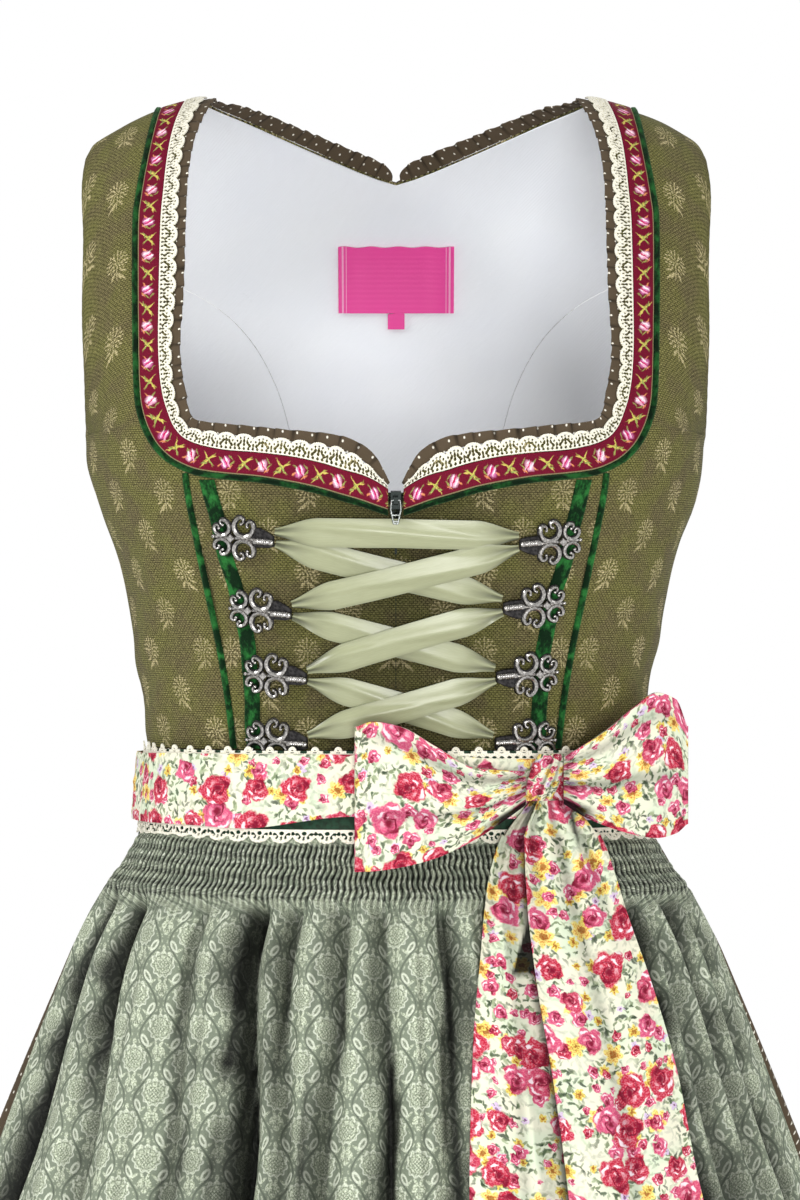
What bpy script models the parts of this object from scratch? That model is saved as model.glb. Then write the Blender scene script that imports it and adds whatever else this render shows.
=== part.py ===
"""A dirndl: fitted bodice laced over a zip, gathered skirt, smocked apron with a sash and bow.

The garment is filled out and hollow. One smooth skin, given by a table of cross-sections, is the outer
face of the bodice. Every piece is a wall between two faces that are moved out from, or in from, that skin.
Tables and sizes are in millimetres; height 0 is the waist seam, -Y is the front, and +X is the viewer's
right. The mesh is in metres, with its origin where the wearer's shoulders hold the straps.
"""

import math

import bmesh
import bpy
import numpy as np
from mathutils import Matrix, Vector

MM = 0.001
SHOULDER_HEIGHT = 332.0  # underside of the straps above the waist seam: the part's origin
SEAM = 0.3  # gap between two pieces that are sewn together
CLOTH = 1.2  # thickness of bodice, skirt and apron cloth
LINING = 1.0
LINING_OUT = -2.15  # the lining's outer face from the skin, clear of the cloth's inner face
TRIM = 1.0
TRIM_OUT = 0.3  # the trims' underside from the skin
RIBBON = 1.0


class Table:
    """Rows of sizes under named columns, read smoothly by the first column and without overshoot."""

    def __init__(self, columns, *rows):
        values = np.array(rows, float).T
        self.keys = values[0]
        self.values = dict(zip(columns.split(), values))
        self.slopes = {name: self.slopes_of(value) for name, value in self.values.items()}

    def slopes_of(self, value):
        """One slope a row: none at a peak or a level stretch, or else the harmonic mean of both sides."""
        steps = np.diff(value) / np.diff(self.keys)
        inside = [2 * a * b / (a + b) if a * b > 0 else 0.0 for a, b in zip(steps, steps[1:])]
        return np.array([steps[0], *inside, steps[-1]])

    def __call__(self, column, key):
        key = np.clip(key, self.keys[0], self.keys[-1])
        i = min(int(np.searchsorted(self.keys, key, side="right")) - 1, len(self.keys) - 2)
        span = self.keys[i + 1] - self.keys[i]
        t = (key - self.keys[i]) / span
        low, high = self.values[column][i : i + 2]
        slope_low, slope_high = self.slopes[column][i : i + 2] * span
        return float(
            low * (2 * t**3 - 3 * t**2 + 1)
            + slope_low * (t**3 - 2 * t**2 + t)
            + high * (3 * t**2 - 2 * t**3)
            + slope_high * (t**3 - t**2)
        )


def ease(t):
    """0 to 1 with no slope at either end."""
    t = min(max(t, 0.0), 1.0)
    return t * t * (3 - 2 * t)


# ---------------------------------------------------------------- the garment's skin

UNDERARM = 162.0  # height of the side seam's top
CREST = 342.0  # height of the shoulder seam at the neck
STRAIGHT = (-62.0, 25.0)  # levels round the waist between which the skin runs straight from row to row
CLOSING = (3.0, 2.2)  # exponents of the curve by which front and back close over the shoulder

BODY = Table(
    "height width front back square",
    (-700, 369, 326, 334, 2.05),
    (-620, 348, 304, 312, 2.05),
    (-520, 318, 276, 284, 2.05),
    (-420, 286, 248, 256, 2.05),
    (-330, 254, 218, 224, 2.1),
    (-260, 228.5, 194, 197, 2.1),
    (-209, 209, 176, 178, 2.1),
    (-167, 192.5, 162, 162, 2.1),
    (-125, 175.5, 145, 144, 2.1),
    (-103, 166.5, 134, 133, 2.1),
    (-82, 155.5, 121, 121, 2.1),
    (-62, 143.5, 110.5, 107.5, 2.15),
    (-45, 135.4, 104, 97, 2.15),
    (0, 131.6, 98.7, 91.2, 2.2),
    (25, 133.6, 102.2, 92.1, 2.25),
    (45, 136, 107, 94, 2.3),
    (66, 140, 113, 97, 2.35),
    (87, 144.5, 119, 100, 2.4),
    (109, 150, 125, 103, 2.45),
    (130, 155.5, 129, 106, 2.5),
    (150, 161, 130, 108, 2.5),
    (162, 163.5, 129, 109, 2.5),
    (180, 168.5, 126, 111, 2.5),
    (200, 174, 121, 113, 2.45),
    (220, 179, 115, 113, 2.4),
    (240, 182, 109, 112, 2.4),
    (280, 185, 97, 107, 2.4),
    (320, 184, 85, 98, 2.4),
    (342, 183, 80, 94, 2.4),
)
SHOULDER = Table(
    "x height",
    (0, 343),
    (60, 343),
    (102, 342),
    (124, 336.6),
    (139, 331),
    (149, 326),
    (158.5, 320.5),
    (165, 316),
    (175, 309),
    (190, 300),
)


def shoulder(x):
    return SHOULDER("height", abs(x))


def section(column, level):
    """A size of the cross-section at a level."""
    if STRAIGHT[0] < level < STRAIGHT[1]:
        return float(np.interp(level, BODY.keys, BODY.values[column]))
    return BODY(column, level)


def skin(angle, level):
    """The point at an angle round the garment, 0 at the front and pi at the back.

    Level is the height up to the underarm. Above it, level runs to CREST wherever the shoulder seam is.
    """
    x = section("width", level) * math.sin(angle)
    front = math.cos(angle) > 0
    square = section("square", level)
    fullness = max(0.0, 1 - abs(math.sin(angle)) ** square) ** (1 / square)
    rise = min(max((level - UNDERARM) / (CREST - UNDERARM), 0.0), 1.0)
    closing = (1 - rise ** CLOSING[0]) ** (1 / CLOSING[1])
    depth = section("front" if front else "back", level) * fullness * closing
    height = level if level <= UNDERARM else UNDERARM + rise * (shoulder(x) - UNDERARM)
    return Vector((x, -depth if front else depth, height))


def place(x, height, back=False):
    """Angle and level of the skin's point that the front view shows at x and height."""
    level = height
    if height > UNDERARM:
        level = UNDERARM + (height - UNDERARM) / (shoulder(x) - UNDERARM) * (CREST - UNDERARM)
    level = min(level, CREST)
    angle = math.asin(min(max(x / section("width", level), -1.0), 1.0))
    return (math.pi - angle if back else angle), level


def outward(angle, level):
    """The skin's normal."""
    step, top = 0.004, CREST - 0.5
    at = min(level, top)
    around = skin(angle + step, at) - skin(angle - step, at)
    up = skin(angle, at + 0.5) - skin(angle, at - 0.5)
    normal = around.cross(up).normalized()
    if level > top:
        normal.y = 0.0
    return normal.normalized()


def off_skin(angle, level, out, shift=0.0):
    """A point moved out from the skin, and the whole panel's shift in Y."""
    return skin(angle, level) + outward(angle, level) * out + Vector((0, shift, 0))


# ---------------------------------------------------------------- solids

COLOURS = {
    "olive_jacquard": ((0.17, 0.17, 0.055), 0.9, 0.0),
    "lining_cloth": ((0.70, 0.72, 0.78), 0.7, 0.0),
    "label_satin": ((0.75, 0.05, 0.30), 0.4, 0.0),
    "dotted_cloth": ((0.075, 0.055, 0.035), 0.9, 0.0),
    "lace": ((0.86, 0.84, 0.70), 0.9, 0.0),
    "flower_braid": ((0.27, 0.015, 0.045), 0.6, 0.0),
    "velvet": ((0.005, 0.06, 0.012), 0.9, 0.0),
    "antique_silver": ((0.35, 0.33, 0.31), 0.35, 1.0),
    "satin": ((0.50, 0.50, 0.31), 0.3, 0.0),
    "zip_metal": ((0.10, 0.11, 0.10), 0.35, 1.0),
    "zip_tape": ((0.03, 0.04, 0.02), 0.8, 0.0),
    "band_cloth": ((0.012, 0.03, 0.012), 0.8, 0.0),
    "damask": ((0.20, 0.25, 0.18), 0.5, 0.0),
    "rose_print": ((0.85, 0.80, 0.68), 0.8, 0.0),
}


def material(name):
    found = bpy.data.materials.get(name)
    if found:
        return found
    made = bpy.data.materials.new(name)
    made.use_nodes = True
    colour, roughness, metallic = COLOURS[name]
    shader = made.node_tree.nodes["Principled BSDF"]
    shader.inputs["Base Color"].default_value = (*colour, 1)
    shader.inputs["Roughness"].default_value = roughness
    shader.inputs["Metallic"].default_value = metallic
    return made


def add_object(name, mesh, finish):
    mesh.materials.append(material(finish))
    made = bpy.data.objects.new(name, mesh)
    bpy.data.collections["dirndl_dress"].objects.link(made)
    return made


def vertex(mesh, point):
    """A mesh vertex, in metres from the part's origin, for a point in millimetres."""
    return mesh.verts.new((point.x * MM, point.y * MM, (point.z - SHOULDER_HEIGHT) * MM))


def stitch(mesh, first, second):
    """Faces between two rows of points, quads where they match and triangles where one has more."""
    a, b = 0, 0
    last_a, last_b = len(first) - 1, len(second) - 1
    while a < last_a or b < last_b:
        next_a = (a + 1) / last_a if a < last_a else 2.0
        next_b = (b + 1) / last_b if b < last_b else 2.0
        if abs(next_a - next_b) < 1e-6:
            mesh.faces.new((first[a], first[a + 1], second[b + 1], second[b]))
            a, b = a + 1, b + 1
        elif next_a < next_b:
            mesh.faces.new((first[a], first[a + 1], second[b]))
            a += 1
        else:
            mesh.faces.new((first[a], second[b + 1], second[b]))
            b += 1


def wall(name, finish, outer, inner, ring=False):
    """A closed solid between an outer and an inner face, each given as rows of points in millimetres."""
    mesh = bmesh.new()
    faces = []
    for rows in (outer, inner):
        made = [[vertex(mesh, point) for point in row] for row in rows]
        if ring:
            made = [[*row, row[0]] for row in made]
        for low, high in zip(made, made[1:]):
            stitch(mesh, low, high)
        faces.append(made)
    outer, inner = faces
    stitch(mesh, outer[0], inner[0])
    stitch(mesh, outer[-1], inner[-1])
    if not ring:
        for side in (0, -1):
            stitch(mesh, [row[side] for row in outer], [row[side] for row in inner])
    bmesh.ops.recalc_face_normals(mesh, faces=mesh.faces)
    data = bpy.data.meshes.new(name)
    mesh.to_mesh(data)
    mesh.free()
    return add_object(name, data, finish)


def panel(name, finish, rows, out, thickness, shift=0.0, side=1, ring=False):
    """A wall along the skin. Rows hold (angle, level); out is its outer face's distance or a function."""
    distance = out if callable(out) else lambda angle, level: out

    def face(depth):
        return [
            [off_skin(side * angle, level, distance(angle, level) - depth, shift) for angle, level in row]
            for row in rows
        ]

    return wall(name, finish, face(0.0), face(thickness), ring)


def coons(bottom, top, left, right, across, up):
    """Rows of (angle, level) that fill the four edges. Across and up are the grid lines' fractions."""
    corner = {
        (0, 0): np.array(bottom(0.0)),
        (1, 0): np.array(bottom(1.0)),
        (0, 1): np.array(top(0.0)),
        (1, 1): np.array(top(1.0)),
    }
    rows = []
    for v in up:
        row = []
        for u in across:
            sides = (1 - u) * np.array(left(v)) + u * np.array(right(v))
            ends = (1 - v) * np.array(bottom(u)) + v * np.array(top(u))
            corners = sum(
                (u if i else 1 - u) * (v if j else 1 - v) * value for (i, j), value in corner.items()
            )
            row.append(tuple(sides + ends - corners))
        rows.append(row)
    return rows


def spread(count, low=0.0, high=1.0):
    return [low + (high - low) * i / count for i in range(count + 1)]


# ---------------------------------------------------------------- bodice

# Stations round the neckline, from the shoulder seam (0) down the strap to the corner (10) and along the
# bust to the centre notch (20). Edge is the cloth's edge, outer is the braid's far edge, lace is the share
# of the strip that the lace takes, and frill is how far the frill stands past the edge.
NECKLINE = Table(
    "station edge_x edge_z outer_x outer_z lace frill",
    (0, 102.0, 342.0, 123.5, 336.7, 0.42, 5.3),
    (1, 108.1, 327.1, 126.0, 323.0, 0.42, 5.0),
    (2, 111.7, 311.0, 128.6, 307.0, 0.40, 4.6),
    (3, 113.2, 291.4, 131.1, 289.3, 0.38, 4.3),
    (4, 113.5, 272.5, 132.6, 272.6, 0.40, 4.3),
    (5, 113.8, 238.1, 132.0, 238.7, 0.41, 4.3),
    (6, 115.3, 206.9, 131.2, 207.4, 0.36, 4.4),
    (7, 114.7, 191.4, 130.6, 190.0, 0.33, 5.0),
    (8, 113.2, 181.1, 129.6, 178.0, 0.30, 5.6),
    (9, 111.2, 173.2, 126.6, 167.0, 0.27, 5.0),
    (10, 108.2, 166.8, 121.3, 157.0, 0.28, 4.6),
    (11, 103.4, 163.1, 112.9, 149.0, 0.32, 4.5),
    (12, 94.7, 161.2, 99.4, 143.2, 0.36, 4.6),
    (13, 84.0, 160.1, 85.0, 141.1, 0.40, 4.7),
    (14, 68.7, 158.3, 70.7, 139.7, 0.38, 4.8),
    (15, 53.5, 156.5, 56.5, 137.4, 0.37, 5.0),
    (16, 38.3, 154.4, 41.3, 134.3, 0.40, 5.5),
    (17, 26.2, 151.4, 27.9, 130.4, 0.42, 6.0),
    (18, 17.1, 146.6, 18.1, 127.6, 0.35, 5.6),
    (19, 10.2, 140.2, 10.6, 125.0, 0.22, 3.8),
    (20, 4.0, 134.0, 4.0, 122.8, 0.10, 1.5),
)
CORNER, NOTCH = 10, 20
PRINCESS = Table(
    "height x", (0, 83.0), (20, 85.2), (50, 89.6), (80, 95.6), (110, 101.6), (140, 106.6), (166.8, 108.2)
)
CENTRE_EDGE = Table("height x", (0, 0.15), (114, 0.15), (122.5, 2.95), (134, 4.0))
# Heights of the front's rows at the centre, at the princess seam and at the side.
CENTRE_HEIGHTS = (SEAM / 2, 25, 50, 75, 98, 114, 122.5, 134)
PRINCESS_HEIGHTS = (SEAM / 2, 25, 50, 75, 100, 122, 144, 166.8)
SIDE_HEIGHTS = (SEAM / 2, 25, 48, 71, 94, 117, 140, UNDERARM)
ARMHOLE = Table(
    "level front back",
    (162, 163.5, 163.5),
    (180, 163.0, 162.5),
    (200, 162.8, 160.5),
    (240, 162.8, 157.5),
    (280, 163.5, 157.5),
    (315, 165.0, 160.0),
    (332, 164.0, 161.0),
    (342, 160.0, 160.0),
)
BACK_SEAM = Table(
    "step x height",
    (0, 47.0, 0),
    (1, 49.0, 40),
    (2, 51.5, 90),
    (3, 54.5, 140),
    (4, 60.5, 175),
    (5, 70.0, 202),
    (6, 84.0, 224),
    (7, 104.0, 241),
    (8, 130.0, 252),
    (9, 157.5, 257),
)
BACK_SEAM_STEPS = 9
BACK_SEAM_KEYS = (0.0, 0.22, 0.37, 0.47, 0.57, 0.68, 0.79, 0.9, 1.0)
BACK_SEAM_END = 0.985  # where the side back's point stops, short of the armhole
BACK_NECK = Table(
    "x height", (0, 304.3), (11.4, 307.6), (30.4, 314.8), (57.3, 325.5), (80, 334.5), (102, 342)
)
BACK_NECK_KEYS = (0, 30, 58, 80, 95, 102)
WAIST = SEAM / 2
NECK_END = 102.0  # x of the neckline on the shoulder seam


def armhole(level, back=False):
    x = min(ARMHOLE("back" if back else "front", level), section("width", level))
    angle = math.asin(x / section("width", level))
    return (math.pi - angle if back else angle), level


def neck(station, share=0.0, extra=0.0):
    """Angle and level across the neck trims: share 0 is the cloth's edge and 1 the braid's far edge."""
    edge = Vector((NECKLINE("edge_x", station), NECKLINE("edge_z", station)))
    across = Vector((NECKLINE("outer_x", station), NECKLINE("outer_z", station))) - edge
    point = edge + across * share + across.normalized() * extra
    angle, level = place(point.x, point.y)
    return angle, CREST if station <= 0 else level


def aside(spot, distance):
    """A spot moved round the garment by a distance."""
    angle, level = spot
    return angle + distance / section("width", level), level


def path(keys, spot):
    """A function of 0 to 1 that runs through the spots at the keys, straight between them."""
    spots = [spot(key) for key in keys]
    count = len(spots) - 1

    def at(t):
        i = min(int(t * count + 1e-9), count - 1)
        rest = t * count - i
        return tuple(a + (b - a) * rest for a, b in zip(spots[i], spots[i + 1]))

    return at


BUST_STATIONS = (20, 19, 18, 17, 15.5, 14, 12.5, 11, 10)


def front_centre(side, name):
    centre = place(CENTRE_EDGE("x", 0), WAIST)[0]
    princess = aside(place(PRINCESS("x", 0), WAIST), -SEAM / 2)[0]
    notch, corner = neck(NOTCH)[0], neck(CORNER)[0]

    def at_waist(station):
        share = (neck(station)[0] - notch) / (corner - notch)
        return centre + (princess - centre) * share, WAIST

    def at_neck(station):
        return aside(neck(station), -SEAM / 2 if station == CORNER else 0.0)

    rows = coons(
        path(BUST_STATIONS, at_waist),
        path(BUST_STATIONS, at_neck),
        path(CENTRE_HEIGHTS, lambda height: place(CENTRE_EDGE("x", height), height)),
        path(PRINCESS_HEIGHTS, lambda height: aside(place(PRINCESS("x", height), height), -SEAM / 2)),
        spread(len(BUST_STATIONS) - 1),
        spread(len(CENTRE_HEIGHTS) - 1),
    )
    panel(name, "olive_jacquard", rows, 0.0, CLOTH, -SEAM / 2, side)


STRAP_STATIONS = [10, 9.5, 9, 8, 7, 6, 5.5, 5, 4.4, 3.7, 3, 2, 1, 0.4, 0]


def side_front(side, name):
    """Side front cut in one with the shoulder strap."""
    levels = [neck(station)[1] for station in STRAP_STATIONS]
    low, high = levels[0], levels[-1]
    arm_levels = [UNDERARM + (level - low) / (high - low) * (CREST - UNDERARM) for level in levels]
    inner = [aside(place(PRINCESS("x", height), height), SEAM / 2) for height in PRINCESS_HEIGHTS]
    inner += [neck(station) for station in STRAP_STATIONS[1:]]
    outer = [(math.pi / 2, height) for height in SIDE_HEIGHTS]
    outer += [armhole(level) for level in arm_levels[1:]]
    rows = [
        [tuple(a + (b - a) * share for a, b in zip(first, last)) for share in spread(4)]
        for first, last in zip(inner, outer)
    ]
    panel(name, "olive_jacquard", rows, 0.0, CLOTH, -SEAM / 2, side)


def back_seam(t, gap=0.0):
    """Angle and level at the fraction t of the curved back seam, moved aside by a gap."""
    step = t * BACK_SEAM_STEPS
    ahead = min(step + 0.1, BACK_SEAM_STEPS)
    at, before, after = (
        Vector((BACK_SEAM("x", key), BACK_SEAM("height", key))) for key in (step, ahead - 0.1, ahead)
    )
    along = after - before
    at += Vector((along.y, -along.x)).normalized() * gap
    return place(at.x, max(at.y, WAIST), back=True)


def back_centre_rows():
    """The half of the centre back from its middle to the curved seam and the armhole."""
    seam_end = back_seam(1.0)[1]
    edge_keys = [("seam", t) for t in BACK_SEAM_KEYS] + [("arm", t) for t in (0.35, 0.7, 0.9, 1.0)]

    def edge(key):
        kind, t = key
        if kind == "seam":
            return back_seam(t, -SEAM / 2)
        return armhole(seam_end + (CREST - seam_end) * t, back=True)

    top_keys = [("neck", x) for x in BACK_NECK_KEYS] + [("seam", x) for x in (122, 141, 160)]

    def top(key):
        kind, x = key
        angle, level = place(x, BACK_NECK("height", x) if kind == "neck" else shoulder(x), back=True)
        return angle, CREST if x >= NECK_END else level

    ends = [top(key)[0] for key in top_keys]
    shares = [(end - ends[0]) / (ends[-1] - ends[0]) for end in ends]
    waist_end = back_seam(0.0, -SEAM / 2)[0]
    centre_top = top(top_keys[0])[1]
    return coons(
        path(shares, lambda share: (math.pi + (waist_end - math.pi) * share, WAIST)),
        path(top_keys, top),
        path(spread(12), lambda v: (math.pi, WAIST + (centre_top - WAIST) * (1 - (1 - v) ** 1.15))),
        path(edge_keys, edge),
        spread(len(top_keys) - 1),
        spread(len(edge_keys) - 1),
    )


def back_centre(name, finish, out, thickness):
    half = back_centre_rows()
    rows = [[(2 * math.pi - angle, level) for angle, level in reversed(row[1:])] + row for row in half]
    panel(name, finish, rows, out, thickness, SEAM / 2)


def side_back(side, name, finish, out, thickness):
    seam_keys = [*BACK_SEAM_KEYS[:-1], BACK_SEAM_END]
    seam_end = back_seam(BACK_SEAM_END)[1]
    rows = coons(
        path(spread(4), lambda u: (back_seam(0.0, SEAM / 2)[0] * (1 - u) + math.pi / 2 * u, WAIST)),
        path(
            [0.0, 0.25, 0.5, 0.78, 1.0],
            lambda u: armhole(seam_end + (UNDERARM - seam_end) * u**0.8, back=True)
            if u > 0
            else back_seam(BACK_SEAM_END, SEAM / 2),
        ),
        path(seam_keys, lambda t: back_seam(t, SEAM / 2)),
        path(spread(8), lambda v: (math.pi / 2, WAIST + (UNDERARM - WAIST) * v)),
        spread(4),
        spread(len(seam_keys) - 1),
    )
    panel(name, finish, rows, out, thickness, SEAM / 2, side)


def bodice():
    for side, letter in ((-1, "l"), (1, "r")):
        front_centre(side, f"bodice_front_{letter}")
        side_front(side, f"bodice_side_front_{letter}")
        side_back(side, f"bodice_side_back_{letter}", "olive_jacquard", 0.0, CLOTH)
        side_back(side, f"lining_side_back_{letter}", "lining_cloth", LINING_OUT, LINING)
    back_centre("bodice_back", "olive_jacquard", 0.0, CLOTH)
    back_centre("lining_back", "lining_cloth", LINING_OUT, LINING)


LABEL = {"x": (-32.0, 32.0), "height": (236.0, 272.5)}
LABEL_TAB = {"x": (-4.6, 4.6), "height": (227.0, 235.7)}
LABEL_DEPTH = -4.25  # its outer face, clear of the lining's inner face


def label():
    for name, size, columns in (("label", LABEL, 4), ("label_tab", LABEL_TAB, 2)):
        rows = [
            [place(x, height, back=True) for x in spread(columns, *size["x"])]
            for height in spread(2, *size["height"])
        ]
        panel(name, "label_satin", rows, LABEL_DEPTH, TRIM, SEAM / 2)


# ---------------------------------------------------------------- trims on the bodice

FRONT_STATIONS = STRAP_STATIONS[::-1] + [11, 12, 13, 14, 15.5, 17, 18, 19, 20]


def neck_strip(name, finish, shares, out, thickness, side, extra=(0.0, 0.0)):
    """A trim along the front neckline, between two shares of the strip from the edge to the braid's end."""
    rows = [
        [neck(station, share(station), more) for share, more in zip(shares, extra)]
        for station in FRONT_STATIONS
    ]
    panel(name, finish, rows, out, thickness, -SEAM / 2, side)


LACE_SHARES = (lambda station: 0.0, lambda station: NECKLINE("lace", station) - 0.02)
BRAID_SHARES = (lambda station: NECKLINE("lace", station), lambda station: 1.0)
PIPING_SHARES = (lambda station: 1.0, lambda station: 1.0)
PIPING_EDGES = (0.3, 3.3)  # past the braid's far edge


def neck_trims():
    for side, letter in ((-1, "l"), (1, "r")):
        neck_strip(f"neck_lace_{letter}", "lace", LACE_SHARES, TRIM_OUT + TRIM, TRIM, side)
        neck_strip(f"neck_braid_{letter}", "flower_braid", BRAID_SHARES, TRIM_OUT + TRIM, TRIM, side)
        neck_strip(
            f"neck_piping_{letter}", "velvet", PIPING_SHARES, TRIM_OUT + 1.7, 1.7, side, PIPING_EDGES
        )


FRILL_PITCH = 10.6  # one knife pleat
FRILL_FOLD = 0.8  # how far a pleat's edge stands off its own middle
FRILL_GAP = 0.6  # from the cloth's edge to the frill's foot
FRILL_END = 0.7  # cut off at each end


def frill(name, base, widths, corners=()):
    """A pleated frill that stands on an edge. Base is a list of (point, normal, inward) in millimetres.

    Corners are the places in the base, besides the pleats' edges, at which the frill bends.
    """
    lengths = np.cumsum([0.0] + [(b[0] - a[0]).length for a, b in zip(base, base[1:])])
    first, last = FRILL_END, lengths[-1] - FRILL_END
    pleats = round(lengths[-1] / FRILL_PITCH)
    pitch = (last - first) / pleats
    marks = [(last, FRILL_FOLD)] + [(lengths[corner], 0.0) for corner in corners]
    for pleat in range(pleats):
        marks += [(first + pleat * pitch, FRILL_FOLD), (first + (pleat + 0.86) * pitch, -FRILL_FOLD)]
    faces = ([[], []], [[], []])
    for at, fold in sorted(marks):
        i = min(int(np.searchsorted(lengths, at, side="right")) - 1, len(base) - 2)
        rest = (at - lengths[i]) / (lengths[i + 1] - lengths[i])
        point, normal, inward = (a.lerp(b, rest) for a, b in zip(base[i], base[i + 1]))
        width = widths[i] + (widths[i + 1] - widths[i]) * rest
        normal.normalize()
        inward.normalize()
        foot = point + inward * FRILL_GAP - normal * 0.1
        edge = point + inward * width + normal * (fold - 0.2)
        for face, depth in zip(faces, (0.0, TRIM)):
            face[0].append(foot - normal * depth)
            face[1].append(edge - normal * depth)
    wall(name, "dotted_cloth", *faces)


def frill_base(spots, shift, side):
    """(point, normal, inward) along an edge; inward runs on past the edge, along the skin."""
    points = [off_skin(*spot, 0.0, shift) for spot in spots]
    base = []
    for i, spot in enumerate(spots):
        along = points[max(i - 1, 0)] - points[min(i + 1, len(points) - 1)]
        normal = outward(*spot)
        base.append((points[i], normal, normal.cross(along).normalized() * side))
    return base


def frills():
    for side, letter in ((-1, "l"), (1, "r")):
        stations = spread(40, 0, NOTCH)
        spots = [(side * angle, level) for angle, level in map(neck, stations)]
        base = frill_base(spots, -SEAM / 2, side)
        frill(f"neck_frill_front_{letter}", base, [NECKLINE("frill", s) for s in stations])
    xs = [-x for x in BACK_NECK_KEYS[:0:-1]] + list(BACK_NECK_KEYS)
    spots = [place(x, BACK_NECK("height", abs(x)), back=True) for x in xs]
    spots = [(angle, CREST if abs(x) >= NECK_END else level) for (angle, level), x in zip(spots, xs)]
    base = frill_base(spots, SEAM / 2, 1)
    widths = [5.3 + 4.7 * ease((NECK_END - abs(x)) / 25) for x in xs]
    frill("neck_frill_back", base, widths, corners=range(1, len(base) - 1))


VELVET_BAND = Table(
    "height x",
    (1, 72.4),
    (16, 73.2),
    (40, 74.2),
    (57, 76.0),
    (81, 81.0),
    (98, 86.0),
    (121, 91.2),
    (138, 95.6),
)
BAND_WIDTH = 8.0
PIPING_WIDTH = 3.2
BAND_HEIGHTS = (1, 25, 50, 75, 98, 118, 138)
PIPING_HEIGHTS = (1, 25, 50, 75, 100, 122, 141.5)


def seam_trims():
    for side, letter in ((-1, "l"), (1, "r")):
        rows = [
            [place(VELVET_BAND("x", height) + x, height) for x in (-BAND_WIDTH / 2, 0, BAND_WIDTH / 2)]
            for height in BAND_HEIGHTS
        ]
        panel(f"velvet_band_{letter}", "velvet", rows, TRIM_OUT + 1.2, 1.2, -SEAM / 2, side)
        rows = [
            [place(PRINCESS("x", height) + x, height) for x in (-PIPING_WIDTH / 2, PIPING_WIDTH / 2)]
            for height in PIPING_HEIGHTS
        ]
        panel(f"seam_piping_{letter}", "velvet", rows, TRIM_OUT + 1.6, 1.6, -SEAM / 2, side)


# ---------------------------------------------------------------- hooks and lacing

# Each hook: side, x of its tip toward the centre, and height. They run from the top pair to the bottom.
HOOKS = {
    "l1": (-1, 59.7, 108.8),
    "r1": (1, 60.7, 106.9),
    "l2": (-1, 51.3, 72.3),
    "r2": (1, 52.8, 74.8),
    "l3": (-1, 43.8, 39.0),
    "r3": (1, 49.4, 39.6),
    "l4": (-1, 43.4, 5.2),
    "r4": (1, 48.6, 4.8),
}
HOOK_LENGTH = 33.5
HOOK_OUT = 1.95  # underside above the skin, over the velvet
HOOK_THICKNESS = 1.5
# The hook's plate, from its middle: x toward the centre, y up, outer and inner radius of each scroll.
SCROLLS = ((0.2, 5.9, 5.5, 2.6), (0.2, -5.9, 5.5, 2.6), (-9.0, 5.2, 4.2, 1.9), (-9.0, -5.2, 4.2, 1.9))
SCROLL_SIDES = 6
BALL = (-14.7, 0.0, 2.0)
TONGUE = ((4.0, 5.2), (15.2, 4.4), (16.75, 2.6))  # half outline, toward the centre
OUTLINE_STEPS = 22


def ray_exit(angle, centre, radius):
    """How far a ray from the hook's middle runs before it leaves a circle for the last time."""
    ray = Vector((math.cos(angle), math.sin(angle)))
    along = ray.dot(centre)
    rest = radius**2 - (centre.length_squared - along**2)
    return along + math.sqrt(rest) if rest > 0 else 0.0


def hook_outline():
    circles = [(Vector((x, y)), outer) for x, y, outer, inner in SCROLLS]
    circles += [(Vector(BALL[:2]), BALL[2]), (Vector((-4.0, 0.0)), 4.4)]
    points = []
    for i in range(OUTLINE_STEPS):
        angle = math.radians(24) + (2 * math.pi - math.radians(48)) * i / (OUTLINE_STEPS - 1)
        reach = max(ray_exit(angle, centre, radius) for centre, radius in circles)
        points.append(Vector((math.cos(angle), math.sin(angle))) * max(reach, 5.0))
    tongue = [Vector((x, -y)) for x, y in TONGUE[1:]] + [Vector((x, y)) for x, y in reversed(TONGUE[1:])]
    return points + tongue


def plate(name, outlines, thickness):
    """A flat plate's mesh from closed outlines in millimetres: the first is outside, the others holes."""
    curve = bpy.data.curves.new(name, "CURVE")
    curve.dimensions = "2D"
    curve.fill_mode = "BOTH"
    curve.extrude = thickness * MM / 2
    for outline in outlines:
        spline = curve.splines.new("POLY")
        spline.points.add(len(outline) - 1)
        for point, at in zip(spline.points, outline):
            point.co = (at[0] * MM, at[1] * MM, 0, 1)
        spline.use_cyclic_u = True
    guide = bpy.data.objects.new(f"{name}_guide", curve)
    bpy.context.scene.collection.objects.link(guide)
    bpy.context.view_layer.update()
    return as_mesh(guide, name)


def circle(x, y, radius, sides):
    angles = [2 * math.pi * (i + 0.5) / sides for i in range(sides)]
    return [(x + radius * math.cos(angle), y + radius * math.sin(angle)) for angle in angles]


def as_mesh(source, name):
    """The object's evaluated curve as a welded mesh. The object is removed."""
    graph = bpy.context.evaluated_depsgraph_get()
    mesh = bpy.data.meshes.new_from_object(source.evaluated_get(graph))
    work = bmesh.new()
    work.from_mesh(mesh)
    bmesh.ops.remove_doubles(work, verts=work.verts, dist=1e-6)
    bmesh.ops.recalc_face_normals(work, faces=work.faces)
    work.to_mesh(mesh)
    work.free()
    mesh.name = name
    bpy.data.objects.remove(source)
    return mesh


def local_frame(angle, level, out, toward, shift=0.0):
    """A matrix in metres on the skin: x along toward, z out of the cloth."""
    normal = outward(angle, level)
    along = (toward - normal * toward.dot(normal)).normalized()
    point = off_skin(angle, level, out, shift) - Vector((0, 0, SHOULDER_HEIGHT))
    axes = Matrix((along, normal.cross(along), normal)).transposed().to_4x4()
    return Matrix.Translation(point * MM) @ axes


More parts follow.
